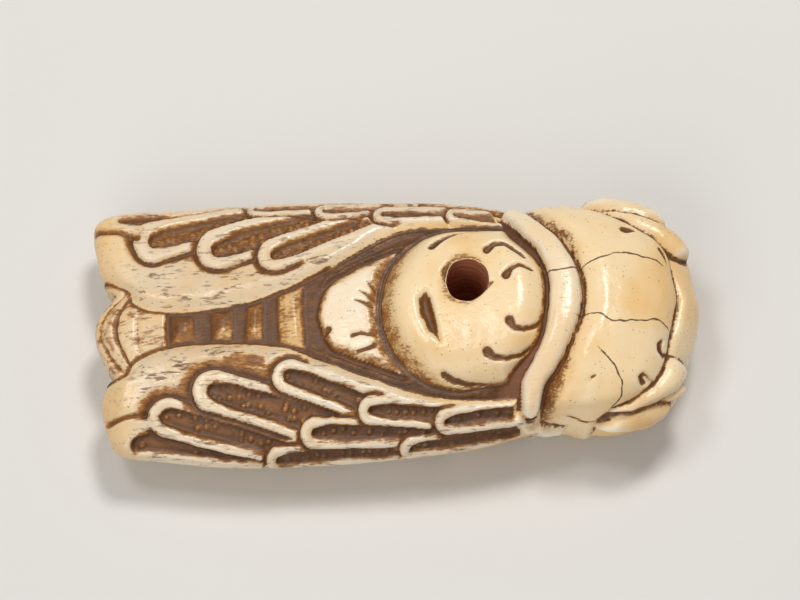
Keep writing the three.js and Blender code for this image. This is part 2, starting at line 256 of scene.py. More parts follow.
# Shield: the ellipse's middle, half length and half width, how it narrows forward, and the dome's height,
# the width and the power of its rounding
SHIELD_X = 6.2
SHIELD_MIDDLE = -0.1
SHIELD_LENGTH = 7.8
SHIELD_WIDTH = 8.7
SHIELD_NARROWS = 0.1
SHIELD_RISE = 2.2
SHIELD_ROUND = 3.4
DOME_POWER = 0.8

# The groove that the shield leaves clear at the collar: its width, and what is added on the near and the
# far side
SHIELD_CLEAR = (0.35, 0.8, 0.6)

# Collar: the middle line as (s, x), half width in the middle and how it narrows, where the band ends, its
# height, the powers of its round section, the groove beside it, and the ridge below its near end as
# points (x, s, half width), with that ridge's height and rounding
COLLAR_LINE = [
    (-17, 12.2), (-14, 12.4), (-11.0, 12.5), (-8.7, 13.0), (-6.6, 14.3), (-4.1, 15.5), (-1.1, 16.4),
    (2.8, 16.2), (5.9, 15.0), (7.5, 13.9), (9.2, 12.8), (10.4, 12.0), (12, 11.2), (14, 10.6), (17, 10.4),
]
COLLAR_HALF = 1.6
COLLAR_NARROWS = 0.05
COLLAR_ENDS = (-11.8, 11.4)
COLLAR_RISE = 1.5
COLLAR_POWERS = (3.6, 0.62)
COLLAR_GROOVE = 0.3
COLLAR_FOOT = [(11.3, -12.0, 0.5), (12.3, -13.4, 0.85), (14.0, -14.5, 0.85), (15.6, -14.8, 0.45)]
COLLAR_FOOT_RISE = 1.0
COLLAR_FOOT_ROUND = 0.7

# Head: the line where the dome meets forehead and brows, as (s, x), the dome's height, its rounding at
# the collar and at the brow line, and the share of its height that it keeps there
DOME_FRONT = [
    (-18, 18.5), (-14, 18.9), (-12.4, 19.4), (-11.2, 20.7), (-10.5, 22.2), (-9.1, 24.1), (-7.7, 25.5),
    (-6.0, 26.6), (-2.7, 27.2), (0, 27.4), (2.5, 27.1), (4.4, 26.7), (6.2, 25.6), (7.8, 24.1), (9.8, 21.8),
    (11.2, 20.0), (13, 19.0), (18, 18.5),
]
DOME_RISE = 1.45
DOME_BACK_ROUND = 2.2
DOME_FRONT_ROUND = 2.6
DOME_KEEPS = 0.2

# Forehead band: half width, middle, height, and the power of its bow across
FOREHEAD_HALF = 6.6
FOREHEAD_MIDDLE = -0.6
FOREHEAD_RISE = 0.85
FOREHEAD_POWER = 1.2

# Brow and eye lobes: the power of their rounding, and points (x, s, half width) along each with its height
LOBE_POWER = 0.75
LOBES = [
    ([(20.0, -11.6, 0.15), (22.4, -11.1, 0.65), (24.5, -9.6, 0.85),
      (26.2, -8.0, 1.05), (27.5, -6.3, 1.05)], 1.2),
    ([(25.8, -9.8, 0.4), (27.5, -8.4, 0.6)], 0.8),
    ([(18.9, -13.9, 0.2), (21.2, -13.2, 1.1), (23.4, -12.4, 1.45),
      (25.0, -11.4, 1.05), (25.9, -10.6, 0.5)], 1.3),
    ([(20.4, 10.9, 0.15), (22.5, 9.9, 0.75), (24.2, 8.9, 1.15), (25.9, 7.5, 1.3), (27.3, 6.1, 1.1)], 1.3),
    ([(18.7, 12.6, 0.3), (20.9, 12.2, 1.05), (22.9, 11.3, 1.35), (24.6, 10.2, 1.05), (25.6, 9.3, 0.5)], 1.85),
]

# Cut marks: points (x, s, half width) along each stroke, and its depth. Commas lie on the shield, nicks
# at the cord hole's rim, and the rest on the scutellum, the head and the wing tips
COMMAS = [
    ([(11.1, -2.8, 0.48), (11.5, -3.4, 0.3), (12.3, -3.6, 0.26),
      (13.2, -3.3, 0.22), (13.9, -2.8, 0.2)], 0.42),
    ([(8.7, -5.5, 0.48), (9.3, -6.0, 0.3), (10.4, -6.2, 0.24), (11.8, -5.9, 0.2), (13.0, -5.1, 0.2)], 0.42),
    ([(4.3, -7.2, 0.3), (5.2, -7.8, 0.28), (6.6, -8.2, 0.24), (8.6, -8.4, 0.2), (10.5, -8.3, 0.18)], 0.36),
    ([(11.0, 1.75, 0.42), (11.5, 2.4, 0.28), (12.3, 2.7, 0.24), (13.4, 2.4, 0.2)], 0.42),
    ([(9.2, 4.6, 0.42), (9.9, 5.1, 0.3), (11.0, 5.0, 0.26), (12.8, 3.7, 0.2)], 0.42),
    ([(3.8, 5.6, 0.4), (4.6, 6.3, 0.42), (5.6, 6.9, 0.26), (7.4, 7.6, 0.12)], 0.4),
]
HOLE_NICKS = [
    ([(5.4, 3.5, 0.2), (4.95, 2.7, 0.3), (5.0, 1.7, 0.2)], 0.3),
    ([(8.8, 0.6, 0.3), (9.6, 1.2, 0.12)], 0.3),
]
SCUTELLUM_MARKS = [
    ([(-7.3, -2.3, 0.25), (-6.8, -1.7, 0.35)], 0.35),
    ([(-4.4, -2.5, 0.28), (-3.6, -2.3, 0.22), (-2.2, -2.6, 0.14)], 0.32),
    ([(-4.0, -4.3, 0.2), (-2.3, -3.7, 0.24)], 0.28),
    ([(-6.0, -3.9, 0.16), (-5.0, -4.1, 0.14)], 0.2),
    ([(-4.2, 1.2, 0.1), (-2.5, 0.4, 0.2)], 0.26),
    ([(-3.7, 2.2, 0.1), (-2.3, 1.1, 0.2)], 0.26),
    ([(-2.8, 3.0, 0.1), (-2.0, 1.8, 0.2)], 0.26),
]
HEAD_MARKS = [
    ([(23.35, -8.45, 0.34), (23.1, -8.0, 0.24), (23.4, -7.7, 0.16),
      (23.8, -7.95, 0.12), (24.3, -8.3, 0.1)], 0.4),
    ([(26.0, -4.3, 0.18), (25.7, -4.8, 0.32), (25.75, -5.2, 0.38),
      (26.1, -5.6, 0.25), (26.6, -5.4, 0.12)], 0.4),
    ([(22.4, 7.0, 0.5), (22.9, 7.1, 0.3)], 0.35),
    ([(25.2, 5.2, 0.25), (25.8, 4.7, 0.25), (26.2, 4.0, 0.1)], 0.3),
    ([(18.5, -8.2, 0.2), (18.8, -8.0, 0.12)], 0.25),
    ([(16.4, -12.2, 0.2), (17.6, -12.8, 0.16), (19.4, -12.9, 0.12)], 0.3),
]
TIP_CUTS = [
    ([(-28.4, -9.5, 0.4), (-27.0, -9.3, 0.25), (-25.2, -9.1, 0.3)], 0.4),
    ([(-29.0, 10.9, 0.3), (-27.0, 10.3, 0.25), (-25.7, 9.7, 0.3)], 0.4),
]

# The almond-shaped cut beside the cord hole: points (x, s, half width), its depth, and a low fold round
# it: height, and distance from the cut
ALMOND = [(3.0, 0.9, 0.25), (2.9, 0.0, 0.8), (3.1, -1.4, 0.85), (3.5, -2.9, 0.65), (4.15, -4.3, 0.1)]
ALMOND_DEPTH = 0.85
FOLD_RISE = 0.05
FOLD_PLACE = 0.9

# Hair cracks over collar and head: how far off they still count, and points (x, s)
CRACK_REACH = 9.0
CRACKS = [
    [(14.4, 2.5), (15.2, 2.2), (16.2, 2.1), (17.2, 2.4), (17.9, 2.75), (18.7, 3.0), (19.6, 3.3), (20.4, 3.6),
     (21.3, 4.0), (22.7, 4.1), (23.6, 3.9), (24.5, 3.7), (25.6, 3.5)],
    [(17.6, -2.3), (19.3, -2.2), (20.6, -3.1), (22.7, -2.9), (24.3, -2.8), (25.4, -2.5), (26.5, -2.9)],
    [(19.6, -6.0), (20.6, -7.1), (21.3, -8.5), (21.3, -9.8), (20.4, -11.25)],
]

# Underside: the ringed pad's ends along x, half width and height, and its rings' spacing, start and depth
PAD_ENDS = (-26.5, -5.0)
PAD_HALF = 8.4
PAD_HEIGHT = 0.75
PAD_RING = 3.6
PAD_RING_START = -25
PAD_RING_DEPTH = 0.45

# Folded legs as (foot, hip) in plan on one side, their radii at both, their height and rounding
LEGS = [((2.0, 3.2), (-4.0, 9.4)), ((8.2, 4.8), (4.6, 10.0)), ((13.6, 2.6), (13.0, 9.2))]
LEG_RADII = (1.5, 1.2)
LEG_RISE = 0.75
LEG_ROUND = 0.9

# The face below: its middle, half length and half width, its height, and its ridges' depth and number to
# each millimetre
FACE = (20.8, 5.2, 3.6)
FACE_RISE = 0.9
RIDGE_DEPTH = 0.12
RIDGES_PER_MM = 0.8

# Cord hole: its radius, where its axis meets the belly and the back, how its round is stretched along x
# and y, radii up its length as (z, radius), the height over which the axis leans, the drill's rows and
# columns, and the depth of its turning marks
HOLE_RADIUS = 2.12
HOLE_FOOT = (6.8, 1.5)
HOLE_MOUTH = (6.8, 1.7)
HOLE_STRETCH = (0.96, 1.08)
HOLE_RADII = [
    (-2.0, 2.3), (0.2, 2.1), (1.4, 1.82), (5.7, 1.78), (6.3, HOLE_RADIUS), (12.6, HOLE_RADIUS), (13.6, 2.14),
    (14.4, 2.35), (17, 3.0),
]
LEAN_HEIGHT = 14
DRILL_ROWS = 120
DRILL_COLUMNS = 48
TURNING_MARKS = 0.06

# Masks that the mesh carries for the finish, the share of the bake map that the skin takes, and the
# margin beside the drill's strip in it
LAYERS = ("stain", "deep", "amber", "pores", "floor", "wear", "hatch", "crack", "fissure", "red")
SKIN_SHARE = 0.95
BAKE_MARGIN = 0.005

# How strongly each place takes each mask, from 0 to 1. Those that end in BELOW hold on the underside
STAIN_ABOVE = {
    "wing stain": 1.0, "hollows": 0.6, "marks": 0.85, "thorax": 1.0, "flank": 0.46, "shield rim": 0.55,
    "nape": 0.75, "creases": 0.66, "pad edge": 0.45, "hole mouth": 0.42,
}
STAIN_BELOW = {"hollows": 0.5, "belly": 0.6, "wing stain": 1.0, "creases": 0.66}
DEEP = {"wing grooves": 1.0, "thorax cuts": 0.8, "marks": 0.35, "creases": 0.25}
DEEP_BELOW = 0.5
# The near brow takes amber partly as stain and partly as painted shade on the near side of the brow
AMBER = {
    "wing glow": 1.0, "flank": 1.0, "shield rim": 1.0, "nape": 0.5, "pad edge": 1.0, "marks": 0.6,
    "hole mouth": 0.7, "near tip": 0.75, "near dome": 0.3, "near brow stain and painted shade": 0.8,
}
WEAR = {"high edges": 1.0, "cell rims": 0.9, "pad": 0.8, "collar": 0.4}
PORES = {"wing pores": 1.0, "brow": 0.2, "collar": 0.08}
RED = {"maroon": 0.22, "fleck": 0.9}
NAPE_HATCH = 0.8
FLANK_HATCH = 0.6

# How far the nape's stain spreads from the collar, and what is added on the far and the near side
NAPE_SPREAD = (0.7, 0.9, 1.6)

# How much less of the thorax ground's stain, and of its deepest, the fine ridges on it take
THREAD_CLEANER = 0.3
THREAD_PALER = 0.7

# Noise in the finish: sizes in millimetres along x, y and z, detail, and a shift to another part of the
# noise. Specks are scattered points with a size and a shift
NOISES = {
    "cloud": ((8, 8, 8), 3.0, (0, 0, 0)),
    "mottle": ((1.6, 1.2, 1.2), 4.0, (3, 1, 2)),
    "grain": ((2.4, 0.5, 0.5), 3.0, (7, 2, 5)),
    "fine": ((0.35, 0.28, 0.28), 3.0, (1, 8, 4)),
    "speckle": ((0.6, 0.22, 0.22), 2.0, (4, 4, 1)),
    "patch": ((3.2, 0.8, 0.8), 4.0, (2, 6, 1)),
    "warm": ((2.0, 0.8, 0.8), 4.0, (6, 3, 8)),
    "streak": ((1.3, 0.3, 0.3), 3.0, (5, 1, 3)),
    "scratch": ((1.3, 0.16, 0.16), 1.0, (2, 2, 6)),
}
SPECKS = ((0.55, 0.45, 0.45), (1, 4, 9))

# Antler under light: refraction, gloss, the weight of the glow below its surface, how far red, green and
# blue reach in it and on what scale in metres, and the bump's strength and depth in metres
ANTLER_IOR = 1.54
ANTLER_GLOSS = 0.38
GLOW_WEIGHT = 0.12
GLOW_REACH = (1.0, 0.6, 0.35)
GLOW_SCALE = 0.001
BUMP_STRENGTH = 0.6
BUMP_DEPTH = 0.00018

# Floor, in metres: sides, front and back, where it starts to curve up and how steeply, rows, roughness
FLOOR_SIDES = (-2.0, 2.0)
FLOOR_ENDS = (-1.2, 2.2)
FLOOR_BEND = 0.8
FLOOR_CURVE = 0.5
FLOOR_ROWS = 60
FLOOR_ROUGHNESS = 0.8

# Lights: place and size in metres, and colour
KEY_LIGHT = ((0.1, 0.2, 0.5), 0.13, (1.0, 0.97, 0.93))
TAIL_LIGHT = ((-0.17, 0.09, 0.5), 0.12, (1.0, 0.98, 0.95))
FILL_LIGHT = ((-0.2, -0.4, 0.36), 0.4, (1.0, 0.98, 0.96))

# Camera: where it looks from and at, in the photograph's frame of 800 by 600, its sensor's width in
# millimetres, and the nearest and farthest that it sees, in metres
VIEW_ELEVATION = 65.0
VIEW_AZIMUTH = -2.2
VIEW_DISTANCE = 420.0
VIEW_AIM = (0.0, 0.0, 6.0)
PIXELS_PER_MM = 10.03
FRAME_WIDTH = 800
AIM_OFFSET = (0.2, 3.09)
SENSOR_WIDTH = 36.0
CLIP = (0.01, 20.0)


def smooth(low, high, value):
    """An eased step from 0 at low to 1 at high."""
    t = np.clip((value - low) / (high - low), 0, 1)
    return t * t * (3 - 2 * t)


def rounded(depth, radius):
    """A parabola: 0 at an edge, and level at 1 from one radius inside it."""
    t = np.clip(depth / radius, 0, 1)
    return t * (2 - t)


def curve(points, x):
    """A cubic curve through a few (x, value) points, with slopes taken from their neighbours."""
    px, pv = np.array(points, float).T
    slope = np.gradient(pv, px)
    i = np.clip(np.searchsorted(px, x) - 1, 0, len(px) - 2)
    span = px[i + 1] - px[i]
    t = np.clip((x - px[i]) / span, 0, 1)
    ease = t * t * (3 - 2 * t)
    lead = t * (1 - t) ** 2 * slope[i] - t * t * (1 - t) * slope[i + 1]
    return pv[i] + (pv[i + 1] - pv[i]) * ease + span * lead


def steepness(points, x):
    """Length of a curve's own line for each unit of x, to turn a gap across it into a distance."""
    step = 0.01
    slope = (curve(points, x + step) - curve(points, x - step)) / (2 * step)
    return np.sqrt(1 + slope**2)


def signed_power(value, power):
    """The size of a value raised to a power, with the value's own sign."""
    return np.sign(value) * np.abs(value) ** power


def wander(a, b, size, seed):
    """A smooth random height between -1 and 1: four waves in unrelated directions."""
    turns = np.random.default_rng(seed).uniform(0, 2 * math.pi, (4, 2))
    waves = [np.sin((a * math.cos(p) + b * math.sin(p)) * 2 * math.pi / size * (0.8 + 0.25 * i) + q)
             for i, (p, q) in enumerate(turns)]
    return sum(waves) / 4


def uneven(a, b, waves):
    """The sum of several random heights, each given by its amount, size and seed."""
    return sum(amount * wander(a, b, size, seed) for amount, size, seed in waves)


def end_scale(x, ends):
    """How full a profile is at x: 0 at either end, rising on a superellipse to 1 along the middle."""
    tail, tail_power, head, head_power = ends
    to_tail = np.clip((HALF_LENGTH + x) / tail, 0, 1)
    to_head = np.clip((HALF_LENGTH - x) / head, 0, 1)
    full_tail = (1 - (1 - to_tail) ** tail_power) ** (1 / tail_power)
    return full_tail * (1 - (1 - to_head) ** head_power) ** (1 / head_power)


def loaf(x, angle):
    """The loaf's surface: a superellipse round each section, flatter below, scaled down to both ends."""
    up = np.cos(angle)
    out = np.sin(angle)
    waist = curve(WAIST, x)
    half_width = curve(HALF_WIDTH, x) * end_scale(x, PLAN_ENDS)
    y = half_width * np.where(up >= 0, signed_power(out, BACK_ROUND), signed_power(out, FLANK_ROUND))
    rise = (curve(BACK, x) - waist) * end_scale(x, BACK_ENDS) * np.abs(up) ** BACK_ROUND
    drop = (waist - curve(BELLY, x)) * end_scale(x, BELLY_ENDS) * np.abs(up) ** BELLY_ROUND
    return np.stack([x + 0 * y, y, waist + np.where(up >= 0, rise, -drop)], -1)


def row_places(count):
    """Values of x for the rows, even along the plan's outline, with the blunt ends counted at half length."""
    turn = np.linspace(0, math.pi, ROW_SAMPLES)
    places = -HALF_LENGTH * np.sign(np.cos(turn)) * (1 - (1 - np.abs(np.cos(turn))) ** 3)
    width = curve(HALF_WIDTH, places) * end_scale(places, PLAN_ENDS)
    lengths = np.concatenate([[0], np.cumsum(np.hypot(np.diff(places), END_SHARE * np.diff(width)))])
    return np.interp(np.linspace(0, lengths[-1], count + 2)[1:-1], lengths, places)


def column_angles(back_count, belly_count):
    """Angles round the section: even steps over the back and just past both flanks, then wider ones below."""
    def steps(start, stop, count):
        fine = np.linspace(start, stop, ANGLE_SAMPLES)
        section = loaf(np.zeros_like(fine), fine)
        lengths = np.concatenate([[0], np.cumsum(np.linalg.norm(np.diff(section, axis=0), axis=1))])
        return np.interp(np.linspace(0, lengths[-1], count + 1)[:-1], lengths, fine)

    flank = math.pi / 2 + FLANK_REACH
    return np.concatenate([steps(-flank, flank, back_count), steps(flank, 2 * math.pi - flank, belly_count)])


def bowed(x, angle):
    """Where a row that crosses the back at x lies further round: drawn back with the square of the sine."""
    depth, start, full, until, none = ROW_BOW
    t = np.clip((x - start) / (full - start), 0, 1)
    share = t * (2 - t) * np.clip((none - x) / (none - until), 0, 1)
    return x - depth * share * np.sin(angle) ** 2


def arc_from_back(x, angle):
    """Length round the section at x from the back's middle to an angle, signed as the angle is."""
    turn = np.where(angle > math.pi, angle - 2 * math.pi, angle)
    length = np.zeros_like(x)
    before = loaf(x, 0 * turn)
    for i in range(1, ARC_PIECES + 1):
        here = loaf(x, turn * i / ARC_PIECES)
        length += np.linalg.norm(here - before, axis=-1)
        before = here
    return np.sign(turn) * length


def stroke(x, s, points):
    """Distance outside a stroke of changing width: to each straight piece, less the half width there."""
    nearest = np.full(x.shape, FAR_OFF)
    for (ax, ay, aw), (bx, by, bw) in zip(points[:-1], points[1:]):
        along = ((x - ax) * (bx - ax) + (s - ay) * (by - ay)) / ((bx - ax) ** 2 + (by - ay) ** 2)
        t = np.clip(along, 0, 1)
        reach = np.hypot(x - ax - t * (bx - ax), s - ay - t * (by - ay)) - (aw + t * (bw - aw))
        nearest = np.minimum(nearest, reach)
    return nearest


def signed_crack(x, s, points):
    """Distance to a crack, negative on its one side, so that it passes smoothly through zero on the line."""
    nearest = np.full(x.shape, FAR_OFF)
    for (ax, ay), (bx, by) in zip(points[:-1], points[1:]):
        length = math.hypot(bx - ax, by - ay)
        t = np.clip(((x - ax) * (bx - ax) + (s - ay) * (by - ay)) / length**2, 0, 1)
        reach = np.hypot(x - ax - t * (bx - ax), s - ay - t * (by - ay))
        side = np.sign((bx - ax) * (s - ay) - (by - ay) * (x - ax))
        nearest = np.where(reach < np.abs(nearest), np.where(side < 0, -reach, reach), nearest)
    return nearest


def bead_distance(x, s):
    """Distance to the nearest bead: one point in each square of a net, off its middle, with some left out."""
    net = np.random.default_rng(BEAD_SEED).uniform(0, 1, (BEAD_NET, BEAD_NET, 3))
    column = np.floor(x / BEAD_PITCH).astype(int)
    row = np.floor(s / BEAD_PITCH).astype(int)
    nearest = np.full(x.shape, FAR_OFF)
    for i in (-1, 0, 1):
        for j in (-1, 0, 1):
            pick = net[(column + i) % BEAD_NET, (row + j) % BEAD_NET]
            dx = x - (column + i + 0.2 + 0.6 * pick[..., 0]) * BEAD_PITCH
            dy = s - (row + j + 0.2 + 0.6 * pick[..., 1]) * BEAD_PITCH
            nearest = np.minimum(nearest, np.where(pick[..., 2] < BEADS_LEFT_OUT, FAR_OFF, np.hypot(dx, dy)))
    return nearest


def blurred(height, times):
    """Each point's height averaged with its neighbours', over and over: closed round the rows, open at both
    ends."""
    for _ in range(times):
        height = (np.roll(height, 1, 1) + np.roll(height, -1, 1) + 2 * height) / 4
        before = np.concatenate([height[:1], height[:-1]])
        after = np.concatenate([height[1:], height[-1:]])
        height = (before + after + 2 * height) / 4
    return height


def strongest(strengths, places):
    """The greatest of several masks, each taken at its own strength."""
    return np.maximum.reduce([strength * places[name] for name, strength in strengths.items()])


def collar_middle(s):
    """Where the collar's middle line lies along x."""
    return curve(COLLAR_LINE, s)


def collar_half(s):
    """Half the collar's width, narrowing evenly from the middle out."""
    return COLLAR_HALF - COLLAR_NARROWS * np.abs(s)


def collar_gap(x, s):
    """Distance past the collar's edge, towards the tail (negative) or the head (positive); 0 on the band."""
    across = (x - collar_middle(s)) / steepness(COLLAR_LINE, s)
    return np.sign(across) * np.maximum(np.abs(across) - collar_half(s), 0)


class Relief:
    """The carving on the loaf: its height at every point, and the masks that its finish is mixed from."""

    def __init__(self, look, place, s, under):
        self.look = look
        x, y, z = place[..., 0], place[..., 1], place[..., 2]
        self.y = y
        self.z = z
        self.under = under
        self.x = x + uneven(x, s, UNEVEN_X)
        self.s = s + uneven(x, s, UNEVEN_S)
        end_face = smooth(-27.6, -28.8, x)
        self.near = y < 0
        self.across = np.abs(self.s * (1 - end_face) + y * end_face)
        self.marks = np.zeros(x.shape)
        self.carve()

    def on_side(self, near, far):
        """One value on the near side and another on the far side."""
        return np.where(self.near, near, far)

    def cut(self, height, strokes, edge, inside):
        """Height with strokes cut into it, each to its own depth with one soft edge. Keeps the marks."""
        for points, depth in strokes:
            mark = smooth(*edge, stroke(self.x, self.s, points)) * inside
            height = height - depth * mark
            self.marks = np.maximum(self.marks, mark)
        return height

    def wing_depth(self):
        """Distance inside a wing plate: the least of those to its inner edge, its foot and its root."""
        near = (self.across - curve(NEAR_INNER, self.x)) / steepness(NEAR_INNER, self.x)
        far = (self.across - curve(FAR_INNER, self.x)) / steepness(FAR_INNER, self.x)
        self.from_edge = self.on_side(near, far)
        foot = self.z - self.on_side(curve(NEAR_FOOT, self.x), curve(FAR_FOOT, self.x))
        behind = -collar_gap(self.x, self.s) - COLLAR_GROOVE
        root = np.where(self.x < collar_middle(self.s), behind, -1)
        past_collar = np.where(self.s < 0, COLLAR_ENDS[0] - self.s, self.s - COLLAR_ENDS[1]) + ROOT_LAP
        root = np.maximum(root, np.minimum(WING_ROOT - self.x, past_collar))
        return np.minimum(np.minimum(self.from_edge, foot), root)

    def cell(self, shape, skin):
        """One sunk cell: a tapering capsule open at its root end. Inside its outline stands a flat rim,
        inside that lies a low floor, and a groove follows the outline. It covers what was there before, and
        ends on a slant."""
        (ax, ay), (bx, by), (tip_radius, root_radius), (tip_rim, inner_rim, outer_rim), groove_sizes = shape
        length = math.hypot(bx - ax, by - ay)
        ux, uy = (bx - ax) / length, (by - ay) / length
        along = (self.x - ax) * ux + (self.s - ay) * uy
        across = (self.s - ay) * ux - (self.x - ax) * uy
        radius = tip_radius + (root_radius - tip_radius) * np.clip(along / length, 0, 1)
        inside = radius - np.hypot(np.minimum(along, 0), across)
        on_far_wing = ay > 0
        outward = across * (1 if on_far_wing else -1)
        outer = smooth(-0.4, 0.6, outward)
        arm = smooth(-tip_radius, 1.2 * tip_radius, along)
        keep = smooth(0.5, 0.0, along + CELL_SLANT * outward - length)
        thinned = outer_rim * (1 - RIM_THINS * smooth(0.5, 1.0, along / length))
        rim = tip_rim * (1 - arm) + (inner_rim + (thinned - inner_rim) * outer) * arm
        slope = CELL_SLOPE + OUTER_SLOPE * outer * arm
        inner_reach, outer_reach, run = groove_sizes
        reach = inner_reach + (outer_reach - inner_reach) * outer * arm
        running = np.maximum(smooth(run + GROOVE_FADE, run, along), outer)
        bed = self.rise - self.look.cell_depth
        height, stain, deep, floor = skin
        groove = np.clip(1 + inside / reach, 0, 1) * keep * running * smooth(0.06, 0.2, reach)
        height = height - np.maximum(height - bed - GROOVE_BED, 0) * groove**GROOVE_POWER
        stain = np.maximum(stain, groove)
        deep = np.maximum(deep, smooth(0.5, 0.95, groove))
        sink = smooth(rim, rim + slope, inside)
        crown = RIM_CROWN * (1 - np.clip(np.abs(2 * inside / rim - 1), 0, 1) ** 2)
        cover = smooth(-0.06, 0.28, inside) * keep
        own_floor = smooth(rim + 0.6 * slope, rim + slope + 0.15, inside)
        own_deep = sink * smooth(0.7, 0.1, inside - rim - slope) * (FAR_CELL_DEEP if on_far_wing else 1.0)
        shown = smooth(0.0, 0.2, inside) * keep
        height = height + (self.rise + crown - (crown + self.look.cell_depth) * sink - height) * cover
        stain = stain + (smooth(-0.1, 0.9 * slope, inside - rim) - stain) * shown
        deep = deep + (own_deep - deep) * shown
        floor = floor + (own_floor - floor) * cover
        return height, stain, deep, floor

    def wings(self):
        """Both wing plates: a level band with a rounded edge, thin at the tip, with its cells sunk in it and
        beads scattered over the cells' floors."""
        depth = self.wing_depth()
        self.on_wing = smooth(-0.24, 0.18, depth)
        self.rise = self.look.wing_rise * (1 - smooth(*WING_TIP, self.x) * self.on_side(*TIP_LOSS))
        skin = (self.rise + 0 * self.x,) + tuple(np.zeros((3,) + self.x.shape))
        for shape in NEAR_CELLS + FAR_CELLS:
            skin = self.cell(shape, skin)
        height, stain, deep, floor = skin
        for points in VEINS:
            vein = smooth(0.3, -0.1, stroke(self.x, self.s, points))
            height = height + (self.rise - height) * vein
            stain, deep, floor = [mask * (1 - vein) for mask in (stain, deep, floor)]
        for points, cut in TIP_CUTS:
            mark = smooth(0.25, -0.35, stroke(self.x, self.s, points))
            height = height - cut * mark
            stain = np.maximum(stain, TIP_CUT_STAIN * mark)
        patch = smooth(0.5, -0.4, stroke(self.x, self.s, BAND_PATCH))
        patch = patch * smooth(0.2, 0.0, height - self.rise)
        stain = np.maximum(stain, PATCH_STAIN * patch)
        well_in = smooth(0.1, 0.6, depth)
        on_floor = floor * well_in
        self.floor = on_floor * self.on_side(*FLOOR_WARMTH)
        spot = bead_distance(self.x, self.s)
        bead = np.clip(1 - (spot / BEAD_RADIUS) ** 2, 0, 1) * on_floor
        ring = smooth(0.7, 0.4, spot) * smooth(0.2, 0.4, spot) * on_floor
        band = (1 - stain) * (1 - floor) * well_in
        self.stain = stain * well_in * (1 - BEAD_PALER * bead)
        self.deep = np.maximum(deep, BEAD_RING * ring) * well_in * (1 - bead)
        self.on_rim = smooth(0.02, 0.1, height - self.rise) * band
        porous = TIP_PORES + self.on_side(*BAND_PORES) * smooth(-27.6, -25.0, self.x)
        self.pores = band * porous * (1 - RIM_CLEANER * self.on_rim)
        self.amber = self.on_wing * (1 - deep) * smooth(0.02, 0.3, blurred(self.stain, 3))
        widening = EDGE_WIDENS * smooth(*EDGE_WIDENING, self.x)
        edge = rounded(self.from_edge + 0.1, EDGE_RADIUS + widening)
        return (height + BEAD_HEIGHT * bead) * np.minimum(edge, rounded(depth + 0.1, EDGE_RADIUS))

    def abdomen(self):
        """The strip between the wings: a ringed tail, then a low ground with hipped tiles standing on it."""
        x = self.x
        lateral = self.s - MIDDLE
        room = -self.from_edge
        on = smooth(-0.3, 0.0, room) * smooth(SCUTELLUM[0][0] + 2, SCUTELLUM[0][0] + 1, x)
        tail = np.full(x.shape, TAIL_RISE)
        tail_stain = TAIL_SIDE_STAIN * smooth(0.4, 0.0, room) + TAIL_STAIN
        for ring, cut in TAIL_RINGS:
            mark = smooth(0.34, 0.04, np.abs(x - ring - RING_BOW * lateral**2))
            tail = tail - cut * mark
            tail_stain = np.maximum(tail_stain, mark * min(1.0, cut * RING_STAIN))
        tiles = np.full(x.shape, GROUND_RISE)
        tile_stain_and_painted_light = np.full(x.shape, GROUND_STAIN)
        for start, stop, brown in TILES:
            inset = np.minimum(np.minimum(x - start, stop - x), room - 0.1)
            tiles = np.maximum(tiles, GROUND_RISE + TILE_RISE * np.clip(inset, 0, 1))
            # Painted light: the half of each tile beyond a slanted seam is painted paler, as if lit
            painted_lit_half = smooth(-0.5, 0.6, x - (start + stop) / 2 - TILE_SEAM * lateral)
            paler = GROUND_STAIN - brown * (1 - TILE_PAINTED_LIGHT * painted_lit_half)
            tile_stain_and_painted_light = np.minimum(tile_stain_and_painted_light, GROUND_STAIN - paler * smooth(0.0, 0.5, inset))
        last_ring = TAIL_RINGS[-1][0]
        share = smooth(last_ring - 0.1, last_ring + 0.15, x)
        self.strip_stain_and_painted_light = on * (tail_stain * (1 - share) + tile_stain_and_painted_light * share)
        self.strip_deep = on * share * smooth(0.75, 0.95, tile_stain_and_painted_light)
        self.amber = np.maximum(self.amber, STRIP_AMBER * on)
        self.pores = np.maximum(self.pores, TAIL_PORES * on * (1 - share) * (1 - tail_stain))
        return (tail * (1 - share) + tiles * share + 1) * on - 1

    def scutellum(self):
        """The small triangle behind the shield: a rounded pad with cut marks, and fine ridges round it."""
        x = self.x
        tip = SCUTELLUM[0][0]
        half = curve(SCUTELLUM, np.clip(x, tip, 0))
        off_middle = self.s - MIDDLE / 2
        inside = (half - np.abs(off_middle)) / steepness(SCUTELLUM, np.clip(x, tip + 0.2, 0))
        inside = np.where(x < tip, -np.hypot(x - tip, off_middle), inside)
        inside = np.minimum(inside, self.to_shield - 0.5)
        pad = PAD_RISE * rounded(inside + 0.1, 1.0)
        pad = self.cut(pad, SCUTELLUM_MARKS, (0.14, -0.2), smooth(0, 0.2, inside))
        behind = smooth(-12, -11, x) * smooth(SHIELD_X + 4, SHIELD_X + 2, x) * (1 - self.on_wing)
        thread = smooth(0.42, 0.05, np.abs(inside + THREAD[1])) * smooth(0.15, 0.5, self.to_shield)
        thread = thread * smooth(tip - 0.2, tip + 1.0, x)
        lip = smooth(0.36, 0.05, np.abs(self.to_shield - LIP[1]))
        line = smooth(0.34, 0.06, np.abs(self.from_edge + WING_LINE[1])) * smooth(-10.5, -8.5, x)
        line = line * smooth(0.1, 0.5, self.to_shield)
        self.on_thread = np.maximum.reduce([thread, lip, line]) * behind
        self.on_pad = smooth(0.0, 0.25, inside) * behind
        self.pad_edge = smooth(1.5, 0.1, inside) * self.on_pad
        return np.maximum.reduce([pad, THREAD[0] * thread, LIP[0] * lip, WING_LINE[0] * line]) * behind

